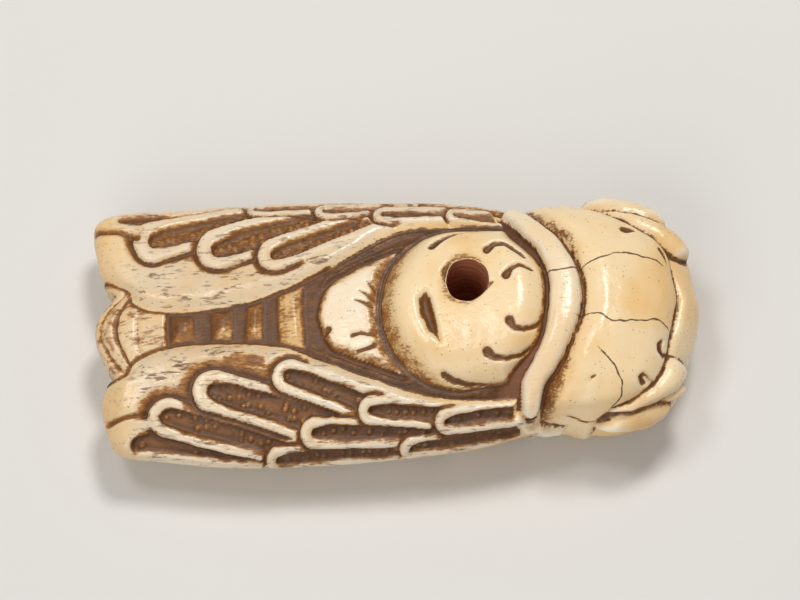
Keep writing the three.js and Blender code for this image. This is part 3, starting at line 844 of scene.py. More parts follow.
    def shield(self):
        """The thorax dome: rounded up from an ellipse's edge, and down again to the collar's groove."""
        x = self.x
        back = np.minimum(x - SHIELD_X, 0) / SHIELD_LENGTH
        half = SHIELD_WIDTH - SHIELD_NARROWS * np.maximum(x - SHIELD_X, 0)
        self.to_shield = (np.hypot(back, (self.s - SHIELD_MIDDLE) / half) - 1) * SHIELD_LENGTH
        clear, more_near, more_far = SHIELD_CLEAR
        clear = clear + more_near * smooth(-4, -8, self.s) + more_far * smooth(3, 6, self.s)
        ahead = np.where(x < collar_middle(self.s), -collar_gap(x, self.s) - clear, -1)
        inside = np.minimum(-self.to_shield, ahead * 1.2)
        self.in_shield = inside
        height = SHIELD_RISE * rounded(inside + 0.1, SHIELD_ROUND) ** DOME_POWER
        height = self.cut(height, COMMAS + HOLE_NICKS, (0.16, -0.24), smooth(0.0, 0.3, inside))
        almond = stroke(x, self.s, ALMOND)
        height = height - ALMOND_DEPTH * smooth(0.25, -0.8, almond)
        self.marks = np.maximum(self.marks, smooth(0.05, -0.45, almond))
        fold = FOLD_RISE * smooth(1.2, 0.0, np.abs(almond - FOLD_PLACE)) * smooth(3.6, 2.6, x)
        return np.where(inside > -0.1, height + fold, -9)

    def collar(self):
        """The bowed band behind the head, half round across, with rounded ends."""
        across = np.abs(self.x - collar_middle(self.s)) / steepness(COLLAR_LINE, self.s)
        low, high = COLLAR_ENDS
        past = np.maximum(np.maximum(low + 1 - self.s, self.s - high + 1), 0)
        reach = np.hypot(across / collar_half(self.s), past)
        foot = stroke(self.x, self.s, COLLAR_FOOT)
        self.on_collar = np.maximum(smooth(1.02, 0.9, reach), smooth(0.05, -0.15, foot))
        band = COLLAR_RISE * np.maximum(1 - reach ** COLLAR_POWERS[0], 0) ** COLLAR_POWERS[1]
        return np.maximum(band, COLLAR_FOOT_RISE * rounded(-foot, COLLAR_FOOT_ROUND))

    def head(self):
        """The head dome, rounded at the collar and again at the brow line, with the forehead and leaf-shaped
        lobes."""
        x, s = self.x, self.s
        behind = np.where(x > collar_middle(s), collar_gap(x, s) - COLLAR_GROOVE, -1)
        front = (curve(DOME_FRONT, s) - x) / steepness(DOME_FRONT, s)
        self.to_brow = front
        self.on_head = smooth(0.0, 0.3, behind)
        dome = DOME_RISE * rounded(behind + 0.1, DOME_BACK_ROUND) ** DOME_POWER
        dome = dome * (DOME_KEEPS + (1 - DOME_KEEPS) * rounded(front, DOME_FRONT_ROUND) ** DOME_POWER)
        dome = self.cut(dome, HEAD_MARKS, (0.14, -0.24), self.on_head)
        height = np.where(front > 0, dome, 0)
        across = (self.y - FOREHEAD_MIDDLE) / FOREHEAD_HALF
        bow = np.maximum(1 - across**2, 0) ** FOREHEAD_POWER
        forehead = FOREHEAD_RISE * bow * rounded(-front - 0.05, 0.7) * smooth(23.5, 25.0, x)
        height = np.maximum(height, forehead)
        self.crease = smooth(0.36, 0.05, np.abs(front)) * self.on_head * smooth(20.0, 22.0, x)
        for points, lift in LOBES:
            outside = stroke(x, s, points)
            widest = max(width for _, _, width in points)
            height = np.maximum(height, lift * rounded(-outside, 0.95 * widest) ** LOBE_POWER)
            edge = smooth(0.32, 0.04, np.abs(outside)) * self.on_head
            edge = edge * smooth(points[0][0] + 0.5, points[0][0] + 2.5, x)
            self.crease = np.maximum(self.crease * smooth(-0.3, 0.0, outside), 0.9 * edge)
        neck = smooth(-10.0, -13.0, s) * smooth(20.0, 16.0, x)
        return height * smooth(-0.1, 0.2, behind) * smooth(0.6, 3.5, self.z) * (1 - 0.95 * neck)

    def underside(self):
        """The plain underside: rings of the abdomen, three pairs of folded legs and a ridged face."""
        x, y = self.x, self.y
        ring = (x - PAD_RING_START) / PAD_RING
        groove = smooth(0.14, 0.03, np.abs(ring - np.round(ring)))
        inset = np.minimum(np.minimum(x - PAD_ENDS[0], PAD_ENDS[1] - x), PAD_HALF - np.abs(y))
        pad = smooth(0, 1.6, inset)
        height = pad * (PAD_HEIGHT - PAD_RING_DEPTH * groove)
        stain = pad * groove + 0.7 * smooth(0.45, 0.0, np.abs(pad - 0.5))
        for foot, hip in LEGS:
            outside = stroke(x, np.abs(y), [(*foot, LEG_RADII[0]), (*hip, LEG_RADII[1])])
            height = np.maximum(height, LEG_RISE * rounded(-outside, LEG_ROUND))
            edge = smooth(0.5, 0.0, np.abs(outside)) * (0.3 + 0.7 * smooth(9.5, 7.5, np.abs(y)))
            stain = np.maximum(stain * smooth(0.2, -0.1, -outside), edge)
        face_x, face_length, face_width = FACE
        face = 1 - np.hypot((x - face_x) / face_length, y / face_width)
        ridge = x * RIDGES_PER_MM
        ridges = RIDGE_DEPTH * smooth(0.35, 0.1, np.abs(ridge - np.round(ridge)))
        height = np.maximum(height, np.where(face > 0, FACE_RISE * rounded(face, 0.4) - ridges, 0))
        stain = np.maximum(stain, smooth(0.1, 0.0, np.abs(face)))
        between = self.on_side(curve(NEAR_INNER, x), curve(FAR_INNER, x)) - np.abs(y)
        tail = TAIL_RISE * smooth(0.0, 0.7, between) * smooth(-25.5, -29.0, x)
        self.belly_stain = np.clip(stain, 0, 1)
        return np.maximum(height, tail)

    def carve(self):
        """Height is the greatest of all forms on the back, or of the plainer ones below."""
        wing = self.wings()
        shield = self.shield()
        strip = self.abdomen()
        pad = self.scutellum()
        collar = self.collar()
        head = self.head()
        back = np.maximum.reduce([wing, shield, strip, pad, collar, head, 0 * wing])
        below = np.maximum.reduce([self.underside(), wing, head])
        self.height = back + (below - back) * self.under + uneven(self.x, self.s, UNEVEN_HEIGHT)
        self.paint()

    def painted_places(self):
        """Where each kind of stain, glow and wear lies, and the near brow's painted shade. Stain gathers
        where the surface lies below what is round it, and rubbed edges stand above their surroundings."""
        x, y, z, s = self.x, self.y, self.z, self.s
        dip = blurred(self.height, 10) - self.height
        gap = collar_gap(x, s)
        on_shield = smooth(-0.05, 0.2, self.in_shield)
        raised = np.maximum.reduce([on_shield, self.on_collar, self.on_head, self.on_pad])
        thorax = smooth(-10, -9, x) * smooth(17, 15, x) * smooth(5.6, 6.8, z)
        low = thorax * (1 - raised) * (1 - self.on_wing)
        spread, more_far, more_near = NAPE_SPREAD
        spread = spread + more_far * smooth(3.0, 6.0, s) + more_near * smooth(-4.0, -10.0, s)
        nape = np.where(gap > 0, np.clip(1 - gap / spread, 0, 1), 0)
        from_hole = np.hypot((x - HOLE_MOUTH[0]) / HOLE_STRETCH[0], (y - HOLE_MOUTH[1]) / HOLE_STRETCH[1])
        # Painted shade, partly stain: the near side of the brow is tinted darker
        front = self.on_head * smooth(20.5, 23.0, x) * smooth(-8.0, -10.5, s)
        brow = smooth(0.0, -0.8, self.to_brow) * self.on_head * smooth(20.0, 22.0, x)
        hollow = smooth(0.03, 0.22, dip)
        return {
            "all hollows": hollow,
            "hollows": hollow * (1 - self.on_wing),
            "high edges": smooth(0.03, 0.25, -dip),
            # On the abdomen this also carries the tiles' painted light
            "wing stain": np.maximum(self.stain, self.strip_stain_and_painted_light) * (1 - raised),
            "wing grooves": np.maximum(self.deep, self.strip_deep) * (1 - raised),
            "wing glow": self.amber * (1 - raised),
            "wing pores": self.pores,
            "cell rims": self.on_rim,
            "near tip": self.on_wing * smooth(-22.0, -26.0, x) * smooth(-4.0, -6.0, s),
            "fleck": smooth(0.1, -0.1, stroke(x, s, TAIL_FLECK)) * (1 - self.under),
            "belly": self.belly_stain,
            "marks": self.marks,
            "thorax": low * (1 - THREAD_CLEANER * self.on_thread),
            "thorax cuts": low * (1 - THREAD_PALER * self.on_thread),
            "maroon": low * smooth(-3.5, -5.5, s) * smooth(9.0, 10.5, x),
            "flank": smooth(2.6, 0.1, self.in_shield) * on_shield * smooth(5.5, 0.5, x + 0.1 * s),
            "shield rim": smooth(0.7, 0.0, self.in_shield) * on_shield,
            "near dome": on_shield * smooth(-1.0, -6.0, s),
            "hole mouth": smooth(0.75, 0.0, from_hole - self.look.hole_radius) * on_shield,
            "pad": self.on_pad,
            "pad edge": self.pad_edge,
            "collar": self.on_collar,
            "nape": nape * self.on_head * smooth(-14.4, -12.2, s),
            "creases": self.crease,
            "brow": brow * smooth(4.0, 8.5, z),
            "near brow stain and painted shade": front * smooth(-3.0, -6.5, y),
        }

    def paint(self):
        """Masks for the finish: the strongest of the painted places, with fewer of them below."""
        places = self.painted_places()
        stain_above = strongest(STAIN_ABOVE, places)
        self.stain = stain_above + (strongest(STAIN_BELOW, places) - stain_above) * self.under
        deep_above = strongest(DEEP, places)
        self.deep = deep_above + (DEEP_BELOW * places["all hollows"] - deep_above) * self.under
        self.amber = strongest(AMBER, places)
        self.wear = strongest(WEAR, places)
        self.pores = strongest(PORES, places)
        self.red = strongest(RED, places)
        self.hatch = NAPE_HATCH * places["nape"] + FLANK_HATCH * places["flank"]
        crack_x = self.x + uneven(self.x, self.s, CRACK_X)
        crack_s = self.s + uneven(self.x, self.s, CRACK_S)
        crack = np.full(self.x.shape, CRACK_REACH)
        for points in CRACKS:
            line = signed_crack(crack_x, crack_s, points)
            crack = np.where(np.abs(line) < np.abs(crack), line, crack)
        self.crack = np.clip(crack, -2, 2)
        self.fissure = smooth(0.7, 0.35, np.abs(crack))


def outline(surface):
    """How far points move along x at both ends, and along y on the wings' flanks, fading out inward."""
    x, y = surface[..., 0], surface[..., 1]
    along = curve(TAIL_END, y) * smooth(*TAIL_SHIFTS, x) + curve(HEAD_END, y) * smooth(*HEAD_SHIFTS, x)
    aside = curve(FAR_FLANK, x) * smooth(*FAR_SHIFTS, y) + curve(NEAR_FLANK, x) * smooth(*NEAR_SHIFTS, y)
    return along, aside


def carving_surface(look):
    """The carved skin: rows of the loaf pushed out along its normals by the relief."""
    angles = column_angles(look.back_columns, look.belly_columns)
    row, angle = np.meshgrid(row_places(look.rows), angles, indexing="ij")
    x = bowed(row, angle)
    place = loaf(x, angle)
    step = 1e-4
    round_way = loaf(x, angle + step) - loaf(x, angle - step)
    along_way = loaf(x + step, angle) - loaf(x - step, angle)
    outward = np.cross(along_way, round_way)
    outward /= np.linalg.norm(outward, axis=-1, keepdims=True)
    relief = Relief(look, place, arc_from_back(x, angle), smooth(*UNDER, -np.cos(angle)))
    surface = place + outward * relief.height[..., None]
    along, aside = outline(surface)
    surface[..., 0] += along
    surface[..., 1] += aside
    surface[..., 2] = np.maximum(surface[..., 2], 0)
    return surface, relief


def skin_faces(rows, columns):
    """Corner numbers of the quads between rows, closed round each row, and the triangles to the two poles."""
    i, j = np.meshgrid(np.arange(rows - 1), np.arange(columns), indexing="ij")
    here = i * columns + j
    beside = i * columns + (j + 1) % columns
    quads = np.stack([here, here + columns, beside + columns, beside], -1).reshape(-1, 4)
    ring = np.arange(columns)
    after = (ring + 1) % columns
    last = (rows - 1) * columns
    tail = np.stack([np.full(columns, rows * columns), ring, after], -1)
    head = np.stack([np.full(columns, rows * columns + 1), last + after, last + ring], -1)
    return quads, np.concatenate([tail, head])


def mesh_object(name, points, quads, triangles, layers, corner_uv):
    """A mesh object in metres from points in millimetres, with its vertex layers and bake map."""
    mesh = bpy.data.meshes.new(name)
    corners = np.concatenate([quads.ravel(), triangles.ravel()]).astype(np.int32)
    sizes = np.concatenate([np.full(len(quads), 4), np.full(len(triangles), 3)])
    starts = np.concatenate([[0], np.cumsum(sizes)[:-1]]).astype(np.int32)
    mesh.vertices.add(len(points))
    mesh.vertices.foreach_set("co", (points * MM).ravel().astype(np.float32))
    mesh.loops.add(len(corners))
    mesh.loops.foreach_set("vertex_index", corners)
    mesh.polygons.add(len(sizes))
    mesh.polygons.foreach_set("loop_start", starts)
    mesh.polygons.foreach_set("use_smooth", np.ones(len(sizes), bool))
    mesh.update(calc_edges=True)
    for layer, values in layers.items():
        mesh.attributes.new(layer, "FLOAT", "POINT").data.foreach_set("value", values.astype(np.float32))
    uv = mesh.uv_layers.new(name="OFBake")
    uv.uv.foreach_set("vector", corner_uv.astype(np.float32).ravel())
    mesh.validate()
    piece = bpy.data.objects.new(name, mesh)
    bpy.context.scene.collection.objects.link(piece)
    return piece


def carving_object(look):
    """The skin as a mesh: its bake map runs along the rows one way and round the section the other."""
    surface, relief = carving_surface(look)
    rows, columns = surface.shape[:2]
    quads, triangles = skin_faces(rows, columns)
    tail = surface[0].mean(0) - [POLE_REACH, 0, 0]
    head = surface[-1].mean(0) + [POLE_REACH, 0, 0]
    points = np.concatenate([surface.reshape(-1, 3), [tail, head]])
    layers = {name: np.concatenate([getattr(relief, name).ravel(), [0, 0]]) for name in LAYERS}
    i, j = quads[:, 0] // columns, quads[:, 0] % columns
    along = np.stack([i, i + 1, i + 1, i], -1) + 1
    around = np.stack([j, j, j + 1, j + 1], -1)
    ring = np.arange(columns)
    tail_uv = np.stack([np.zeros(columns), np.ones(columns), np.ones(columns)], -1)
    head_uv = np.stack([np.full(columns, rows + 1), np.full(columns, rows), np.full(columns, rows)], -1)
    pole_along = np.concatenate([tail_uv, head_uv])
    tail_round = np.stack([ring + 0.5, ring, ring + 1], -1)
    head_round = np.stack([ring + 0.5, ring + 1, ring], -1)
    pole_around = np.concatenate([tail_round, head_round])
    u = np.concatenate([along.ravel(), pole_along.ravel()]) / (rows + 1)
    v = np.concatenate([around.ravel(), pole_around.ravel()]) / columns * SKIN_SHARE
    return mesh_object("cicada_carving", points, quads, triangles, layers, np.stack([u, v], -1))


def drill_object(look):
    """The drill: circles of changing radius stacked up a leaning axis, with faint turning marks, closed at
    both ends."""
    rows, columns = DRILL_ROWS, DRILL_COLUMNS
    z = np.linspace(HOLE_RADII[0][0], HOLE_RADII[-1][0], rows)
    radius = np.interp(z, *np.array(HOLE_RADII, float).T) * look.hole_radius / HOLE_RADIUS
    height, turn = np.meshgrid(z, np.linspace(0, 2 * math.pi, columns, endpoint=False), indexing="ij")
    rings = TURNING_MARKS * np.sin(height * 9 + 2 * np.sin(height * 2.3) + 0.6 * np.sin(turn))
    lobes = TURNING_MARKS * (np.sin(3 * turn + 0.6 * height) + np.sin(7 * turn - height) / 2)
    lean = np.clip(height / LEAN_HEIGHT, 0, 1)
    reach = radius[:, None] + rings + lobes
    x = HOLE_FOOT[0] + (HOLE_MOUTH[0] - HOLE_FOOT[0]) * lean + HOLE_STRETCH[0] * reach * np.cos(turn)
    y = HOLE_FOOT[1] + (HOLE_MOUTH[1] - HOLE_FOOT[1]) * lean + HOLE_STRETCH[1] * reach * np.sin(turn)
    surface = np.stack([x, y, height], -1)
    quads, triangles = skin_faces(rows, columns)
    quads, triangles = quads[:, ::-1], triangles[:, ::-1]
    points = np.concatenate([surface.reshape(-1, 3), [surface[0].mean(0), surface[-1].mean(0)]])
    layers = {name: np.zeros(len(points)) for name in LAYERS}
    layers["red"][:] = 1
    layers["stain"][:] = 1
    layers["crack"][:] = 2
    corners = np.concatenate([quads.ravel(), triangles.ravel()])
    i, j = np.divmod(corners, columns)
    strip = 1 - SKIN_SHARE - 2 * BAKE_MARGIN
    v = SKIN_SHARE + BAKE_MARGIN + strip * np.clip(i / rows, 0, 1)
    return mesh_object("cord_drill", points, quads, triangles, layers, np.stack([j / columns, v], -1))


def drilled(piece, drill):
    """The piece with the drill taken out of it, as plain mesh; the drill is thrown away."""
    cut = piece.modifiers.new("cord_hole", "BOOLEAN")
    cut.operation = "DIFFERENCE"
    cut.solver = "MANIFOLD"
    cut.object = drill
    graph = bpy.context.evaluated_depsgraph_get()
    shown = piece.evaluated_get(graph)
    mesh = bpy.data.meshes.new_from_object(shown, preserve_all_data_layers=True, depsgraph=graph)
    piece.modifiers.remove(cut)
    piece.data = mesh
    bpy.data.objects.remove(drill)
    if len(mesh.polygons) < FEWEST_FACES:
        raise RuntimeError("the cord hole swallowed the carving")
    return piece


class Value:
    """A number that varies over the surface: a node's output, with arithmetic that adds Math nodes."""

    def __init__(self, tree, socket):
        self.tree = tree
        self.socket = socket

    def math(self, operation, *others, first=None):
        """A Math node fed with this value, or with another first one, and the others."""
        node = self.tree.nodes.new("ShaderNodeMath")
        node.operation = operation
        terms = (self if first is None else first,) + others
        for entry, term in zip(node.inputs, terms):
            if isinstance(term, Value):
                self.tree.links.new(term.socket, entry)
            else:
                entry.default_value = term
        return Value(self.tree, node.outputs[0])

    def __add__(self, other):
        return self.math("ADD", other)

    __radd__ = __add__

    def __sub__(self, other):
        return self.math("SUBTRACT", other)

    def __rsub__(self, other):
        return self.math("SUBTRACT", self, first=other)

    def __mul__(self, other):
        return self.math("MULTIPLY", other)

    __rmul__ = __mul__

    def most(self, other):
        return self.math("MAXIMUM", other)

    def least(self, other):
        return self.math("MINIMUM", other)

    def size(self):
        return self.math("ABSOLUTE")

    def clamped(self):
        return self.most(0.0).least(1.0)

    def eased(self, low, high):
        """An eased step from 0 at low to 1 at high."""
        node = self.tree.nodes.new("ShaderNodeMapRange")
        node.interpolation_type = "SMOOTHSTEP"
        self.tree.links.new(self.socket, node.inputs["Value"])
        turned = low > high
        node.inputs["From Min"].default_value = min(low, high)
        node.inputs["From Max"].default_value = max(low, high)
        node.inputs["To Min"].default_value = 1.0 if turned else 0.0
        node.inputs["To Max"].default_value = 0.0 if turned else 1.0
        return Value(self.tree, node.outputs["Result"])


class Finish:
    """A material's node tree, with one method that adds any node."""

    def __init__(self, name):
        self.material = bpy.data.materials.new(name)
        self.material.use_nodes = True
        self.tree = self.material.node_tree
        self.shader = self.tree.nodes["Principled BSDF"]

    def node(self, kind, settings=None, inputs=None):
        """Adds a node: its settings are set first, then each named socket gets a value or a link."""
        node = self.tree.nodes.new(kind)
        for key, value in (settings or {}).items():
            setattr(node, key, value)
        for key, value in (inputs or {}).items():
            self.feed(node.inputs[key], value)
        return node

    def feed(self, entry, value):
        """Links a varying value into a socket, or sets a constant on it."""
        if isinstance(value, Value):
            self.tree.links.new(value.socket, entry)
        elif isinstance(value, bpy.types.NodeSocket):
            self.tree.links.new(value, entry)
        else:
            entry.default_value = value

    def layer(self, name):
        """A mask that the mesh carries."""
        node = self.node("ShaderNodeAttribute", {"attribute_name": name})
        return Value(self.tree, node.outputs["Fac"])

    def stretched(self, scale, offset):
        """Object coordinates in units of the given sizes, in millimetres, along x, y and z."""
        where = self.node("ShaderNodeTexCoord").outputs["Object"]
        factors = [1000.0 / size for size in scale]
        inputs = {"Vector": where, "Scale": factors, "Location": offset}
        return self.node("ShaderNodeMapping", {"vector_type": "POINT"}, inputs).outputs["Vector"]

    def noise(self, scale, detail, offset):
        """Smooth noise of the given sizes."""
        inputs = {"Vector": self.stretched(scale, offset), "Scale": 1.0, "Detail": detail}
        return Value(self.tree, self.node("ShaderNodeTexNoise", None, inputs).outputs["Fac"])

    def spots(self, scale, offset):
        """Distance to the nearest of scattered points."""
        inputs = {"Vector": self.stretched(scale, offset), "Scale": 1.0}
        return Value(self.tree, self.node("ShaderNodeTexVoronoi", None, inputs).outputs["Distance"])

    def blend(self, amount, first, second):
        """Two colours mixed by an amount."""
        node = self.node("ShaderNodeMix", {"data_type": "RGBA"})
        self.feed(node.inputs[0], amount)
        self.feed(node.inputs[6], first)
        self.feed(node.inputs[7], second)
        return node.outputs[2]


def stained_antler(look):
    """Polished antler: cream clouded with honey, stain in hollows, dark pores, specks and hair cracks."""
    finish = Finish("stained_antler")
    masks = [finish.layer(name) for name in LAYERS]
    stain, deep, amber, pores, floor, wear, hatch, crack, fissure, red = masks
    noises = [finish.noise(*sizes) for sizes in NOISES.values()]
    cloud, mottle, grain, fine, speckle, patch, warm, streak, scratch = noises

    # Bare antler: clouds, rubbed edges, grime on the bands, and a golden tint round the stain and at a few
    # places, which on the near brow is partly painted shade
    cream = finish.blend(cloud.eased(0.38, 0.64), (*look.cream, 1), (*look.honey, 1))
    cream = finish.blend(wear * 0.8, cream, (*look.worn, 1))
    cream = finish.blend(pores * (0.2 + mottle * 0.6), cream, (*look.grime, 1))
    cream = finish.blend((amber * (1 - pores) * 0.75).clamped(), cream, (*look.golden, 1))

    # Stain: how far it has soaked in, its thin and its thick colour, and both laid over the antler
    patchy = (mottle - 0.5) * 0.8 + (speckle - 0.5) * 0.7
    partly = (stain * (1 - stain) * 4.0 + 0.15).clamped()
    blotch = pores * patch.eased(0.5, 0.66) * 0.5
    soak = stain + patchy * partly * (stain * 8.0).clamped() + blotch * (0.3 + speckle)
    thin = finish.blend(amber, (*look.rust, 1), (*look.amber, 1))
    body = finish.blend(amber * mottle.eased(0.3, 0.6), (*look.umber, 1), (*look.rust, 1))
    body = finish.blend(floor * speckle.eased(0.45, 0.62) * 0.65, body, (*look.amber, 1))
    thick = finish.blend((deep + patchy * 0.5).eased(0.3, 0.8), body, (*look.dark_stain, 1))
    thick = finish.blend(warm.eased(0.48, 0.66) * (0.25 + fine * 0.4), thick, (*look.rust, 1))
    thick = finish.blend(fine.eased(0.54, 0.74) * 0.28, thick, (*look.amber, 1))
    colour = finish.blend(soak.eased(0.2, 0.5), cream, thin)
    colour = finish.blend(soak.eased(0.45, 0.8), colour, thick)

    # Small dark marks: pores, specks, scratches and hair cracks, then the red stain
    pit_mask = streak.eased(0.56, 0.64) * (pores * patch.eased(0.4, 0.54)).clamped()
    speck = finish.spots(*SPECKS).eased(0.2, 0.1) * mottle.eased(0.46, 0.6)
    scratches = scratch.eased(0.52, 0.64) * hatch
    line = crack.size() + (fine - 0.5) * 0.12 + (mottle - 0.5) * 0.1
    split = line.eased(0.1, 0.04) * fissure
    dark = pit_mask.most(speck * 0.8).most(scratches * 0.8)
    colour = finish.blend(dark * 0.78, colour, (*look.pore, 1))
    colour = finish.blend(split * 0.95, colour, (*look.dark_stain, 1))
    colour = finish.blend((red * (0.75 + mottle * 0.4)).clamped(), colour, (*look.red, 1))

    # Light: roughness, glow below the surface, and a bump of grain, pores and cracks
    finish.feed(finish.shader.inputs["Base Color"], colour)
    rough = 0.22 + soak.clamped() * 0.3 + dark * 0.2 + (fine - 0.5) * 0.12
    finish.feed(finish.shader.inputs["Roughness"], rough.clamped())
    finish.shader.inputs["IOR"].default_value = ANTLER_IOR
    finish.shader.inputs["Specular IOR Level"].default_value = ANTLER_GLOSS
    finish.shader.inputs["Subsurface Weight"].default_value = GLOW_WEIGHT
    finish.shader.inputs["Subsurface Radius"].default_value = GLOW_REACH
    finish.shader.inputs["Subsurface Scale"].default_value = GLOW_SCALE
    level = (fine - 0.5) * 0.25 + (grain - 0.5) * 0.2 - pit_mask * 0.6 - split * 0.8 - scratches * 0.2
    level = level + (speckle - 0.5) * soak.clamped() * 0.5
    inputs = {"Height": level, "Strength": BUMP_STRENGTH, "Distance": BUMP_DEPTH}
    bump = finish.node("ShaderNodeBump", None, inputs)
    finish.feed(finish.shader.inputs["Normal"], bump.outputs["Normal"])
    return finish.material


def plain_finish(name, colour, roughness):
    """An even, unpatterned finish."""
    finish = Finish(name)
    finish.shader.inputs["Base Color"].default_value = (*colour, 1)
    finish.shader.inputs["Roughness"].default_value = roughness
    return finish.material


def floor_object(look):
    """A pale sweep: level under the carving, curving up far behind it with the square of the distance."""
    columns, rows = len(FLOOR_SIDES), FLOOR_ROWS
    depth, width = np.meshgrid(np.linspace(*FLOOR_ENDS, rows), FLOOR_SIDES, indexing="ij")
    height = FLOOR_CURVE * np.maximum(depth - FLOOR_BEND, 0) ** 2
    points = np.stack([width, depth, height], -1).reshape(-1, 3)
    here = np.arange(rows - 1) * columns
    faces = np.stack([here, here + 1, here + columns + 1, here + columns], -1)
    mesh = bpy.data.meshes.new("floor")
    mesh.from_pydata(points.tolist(), [], faces.tolist())
    mesh.polygons.foreach_set("use_smooth", np.ones(len(faces), bool))
    mesh.materials.append(plain_finish("pale_floor", look.floor_colour, FLOOR_ROUGHNESS))
    floor = bpy.data.objects.new("floor", mesh)
    bpy.context.scene.collection.objects.link(floor)
    return floor


def view_axes():
    """Directions from the object to the camera, and to the right and up in its picture."""
    elevation = math.radians(VIEW_ELEVATION)
    azimuth = math.radians(VIEW_AZIMUTH)
    right = Vector((math.cos(azimuth), math.sin(azimuth), 0))
    level = Vector((math.sin(azimuth), -math.cos(azimuth), 0))
    back = level * math.cos(elevation) + Vector((0, 0, math.sin(elevation)))
    return back, right, back.cross(right)


def place_camera():
    """The camera at the photograph's angle; its lens is the length that gives the photograph's scale."""
    back, right, up = view_axes()
    aim = Vector(VIEW_AIM) + right * AIM_OFFSET[0] + up * AIM_OFFSET[1]
    data = bpy.data.cameras.new("photo_camera")
    data.sensor_width = SENSOR_WIDTH
    data.lens = PIXELS_PER_MM * VIEW_DISTANCE / FRAME_WIDTH * SENSOR_WIDTH
    data.clip_start, data.clip_end = CLIP
    camera = bpy.data.objects.new("photo_camera", data)
    camera.location = (aim + back * VIEW_DISTANCE) * MM
    camera.rotation_euler = back.to_track_quat("Z", "Y").to_euler()
    bpy.context.scene.collection.objects.link(camera)
    bpy.context.scene.camera = camera


def softbox(name, power, place, size, colour):
    """A square soft light at a place in metres, facing the carving."""
    data = bpy.data.lights.new(name, "AREA")
    data.shape = "SQUARE"
    data.size = size
    data.energy = power
    data.color = colour
    light = bpy.data.objects.new(name, data)
    light.location = place
    light.rotation_euler = Vector(place).to_track_quat("Z", "Y").to_euler()
    bpy.context.scene.collection.objects.link(light)


class CarvingSettings(bpy.types.PropertyGroup):
    """Sizes and finish of the carving."""
    rows: bpy.props.IntProperty(
        name="Rows", description="Rows of mesh along the length", default=400, min=40)
    back_columns: bpy.props.IntProperty(
        name="Back columns", description="Columns over the back", default=192, min=20)
    belly_columns: bpy.props.IntProperty(
        name="Belly columns", description="Columns below", default=44, min=10)
    wing_rise: bpy.props.FloatProperty(
        name="Wing rise", description="Height of the wings, in mm", default=1.0, min=0)
    cell_depth: bpy.props.FloatProperty(
        name="Cell depth", description="Depth of wing cells, in mm", default=0.7, min=0)
    hole_radius: bpy.props.FloatProperty(
        name="Hole radius", description="Cord hole, in mm", default=HOLE_RADIUS, min=0.5)
    cream: bpy.props.FloatVectorProperty(
        name="Cream", description="Polished antler", subtype="COLOR", default=(0.9, 0.7, 0.425))
    honey: bpy.props.FloatVectorProperty(
        name="Honey", description="Warm clouds in the antler", subtype="COLOR", default=(0.86, 0.57, 0.255))
    worn: bpy.props.FloatVectorProperty(
        name="Worn", description="Rubbed edges", subtype="COLOR", default=(0.91, 0.82, 0.675))
    grime: bpy.props.FloatVectorProperty(
        name="Grime", description="Dull film on the wing bands", subtype="COLOR", default=(0.58, 0.5, 0.41))
    # Golden also tints the near brow, where it is partly painted shade
    golden: bpy.props.FloatVectorProperty(
        name="Golden", description="Glow round the stain", subtype="COLOR", default=(0.62, 0.36, 0.11))
    amber: bpy.props.FloatVectorProperty(
        name="Amber", description="Stain rubbed thin", subtype="COLOR", default=(0.37, 0.155, 0.035))
    rust: bpy.props.FloatVectorProperty(
        name="Rust", description="Lighter stain", subtype="COLOR", default=(0.21, 0.082, 0.019))
    umber: bpy.props.FloatVectorProperty(
        name="Umber", description="Middle stain", subtype="COLOR", default=(0.082, 0.034, 0.008))
    dark_stain: bpy.props.FloatVectorProperty(
        name="Dark stain", description="Deepest stain", subtype="COLOR", default=(0.12, 0.05, 0.018))
    pore: bpy.props.FloatVectorProperty(
        name="Pores", description="Pores and cracks", subtype="COLOR", default=(0.13, 0.048, 0.012))
    red: bpy.props.FloatVectorProperty(
        name="Red", description="Stain in the cord hole", subtype="COLOR", default=(0.42, 0.15, 0.075))


class StageSettings(bpy.types.PropertyGroup):
    """Floor and lights."""
    floor_colour: bpy.props.FloatVectorProperty(
        name="Floor", description="Pale floor", subtype="COLOR", default=(0.72, 0.71, 0.69))
    key_power: bpy.props.FloatProperty(
        name="Key light", description="Main light", subtype="POWER", default=1.42)
    tail_power: bpy.props.FloatProperty(
        name="Tail light", description="Light over the tail", subtype="POWER", default=0.54)
    fill_power: bpy.props.FloatProperty(
        name="Fill light", description="Side light", subtype="POWER", default=1.05)
    sky: bpy.props.FloatProperty(
        name="Sky", description="Even light from all round", default=0.28, min=0)


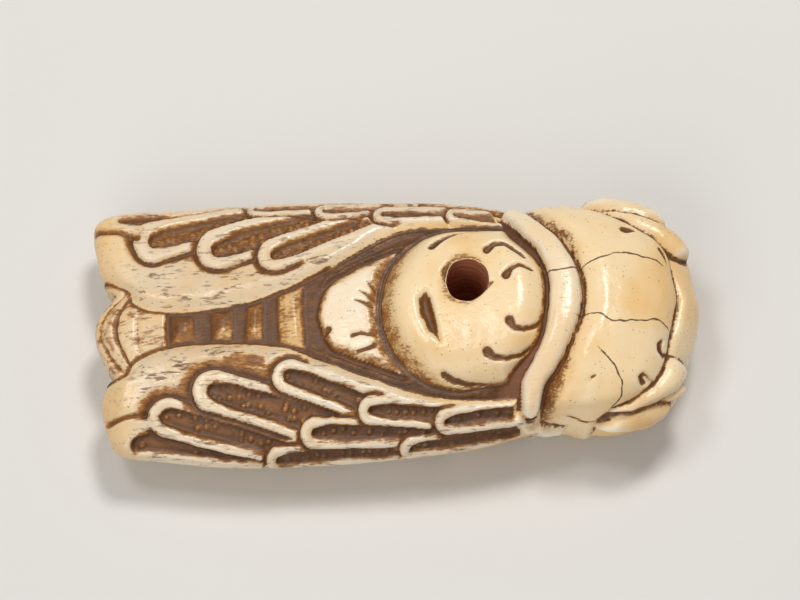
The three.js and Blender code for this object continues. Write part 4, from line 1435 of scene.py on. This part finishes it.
class NETSUKE_OT_carving(bpy.types.Operator):
    """Carve the cicada, drill its cord hole and finish it as stained antler"""
    bl_idname = "netsuke.carving"
    bl_label = "Carve cicada"

    def execute(self, context):
        look = context.scene.netsuke_carving
        piece = drilled(carving_object(look), drill_object(look))
        piece.data.materials.clear()
        piece.data.materials.append(stained_antler(look))
        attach(piece, "root")
        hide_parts("cicada")
        return {"FINISHED"}


class NETSUKE_OT_stage(bpy.types.Operator):
    """Set the floor, the lights and the camera"""
    bl_idname = "netsuke.stage"
    bl_label = "Set stage"

    def execute(self, context):
        look = context.scene.netsuke_stage
        floor_object(look)
        softbox("key_light", look.key_power, *KEY_LIGHT)
        softbox("tail_light", look.tail_power, *TAIL_LIGHT)
        softbox("fill_light", look.fill_power, *FILL_LIGHT)
        world = bpy.data.worlds.new("studio")
        context.scene.world = world
        world.use_nodes = True
        world.node_tree.nodes["Background"].inputs["Color"].default_value = (1, 1, 1, 1)
        world.node_tree.nodes["Background"].inputs["Strength"].default_value = look.sky
        place_camera()
        context.scene.view_settings.view_transform = "Standard"
        return {"FINISHED"}


class NETSUKE_PT_sidebar(bpy.types.Panel):
    """Steps and settings of the netsuke"""
    bl_idname = "NETSUKE_PT_sidebar"
    bl_label = "Netsuke"
    bl_space_type = "VIEW_3D"
    bl_region_type = "UI"
    bl_category = "Netsuke"

    def draw(self, context):
        for step, settings in (("netsuke.carving", "netsuke_carving"), ("netsuke.stage", "netsuke_stage")):
            group = getattr(context.scene, settings)
            self.layout.operator(step)
            for name in group.__annotations__:
                self.layout.prop(group, name)


CLASSES = (CarvingSettings, StageSettings, NETSUKE_OT_carving, NETSUKE_OT_stage, NETSUKE_PT_sidebar)


def register():
    for cls in CLASSES:
        bpy.utils.register_class(cls)
    bpy.types.Scene.netsuke_carving = bpy.props.PointerProperty(type=CarvingSettings)
    bpy.types.Scene.netsuke_stage = bpy.props.PointerProperty(type=StageSettings)


def unregister():
    del bpy.types.Scene.netsuke_stage
    del bpy.types.Scene.netsuke_carving
    for cls in reversed(CLASSES):
        bpy.utils.unregister_class(cls)


def main():
    register()
    bpy.ops.netsuke.carving()
    bpy.ops.netsuke.stage()


if __name__ == "__main__":
    main()
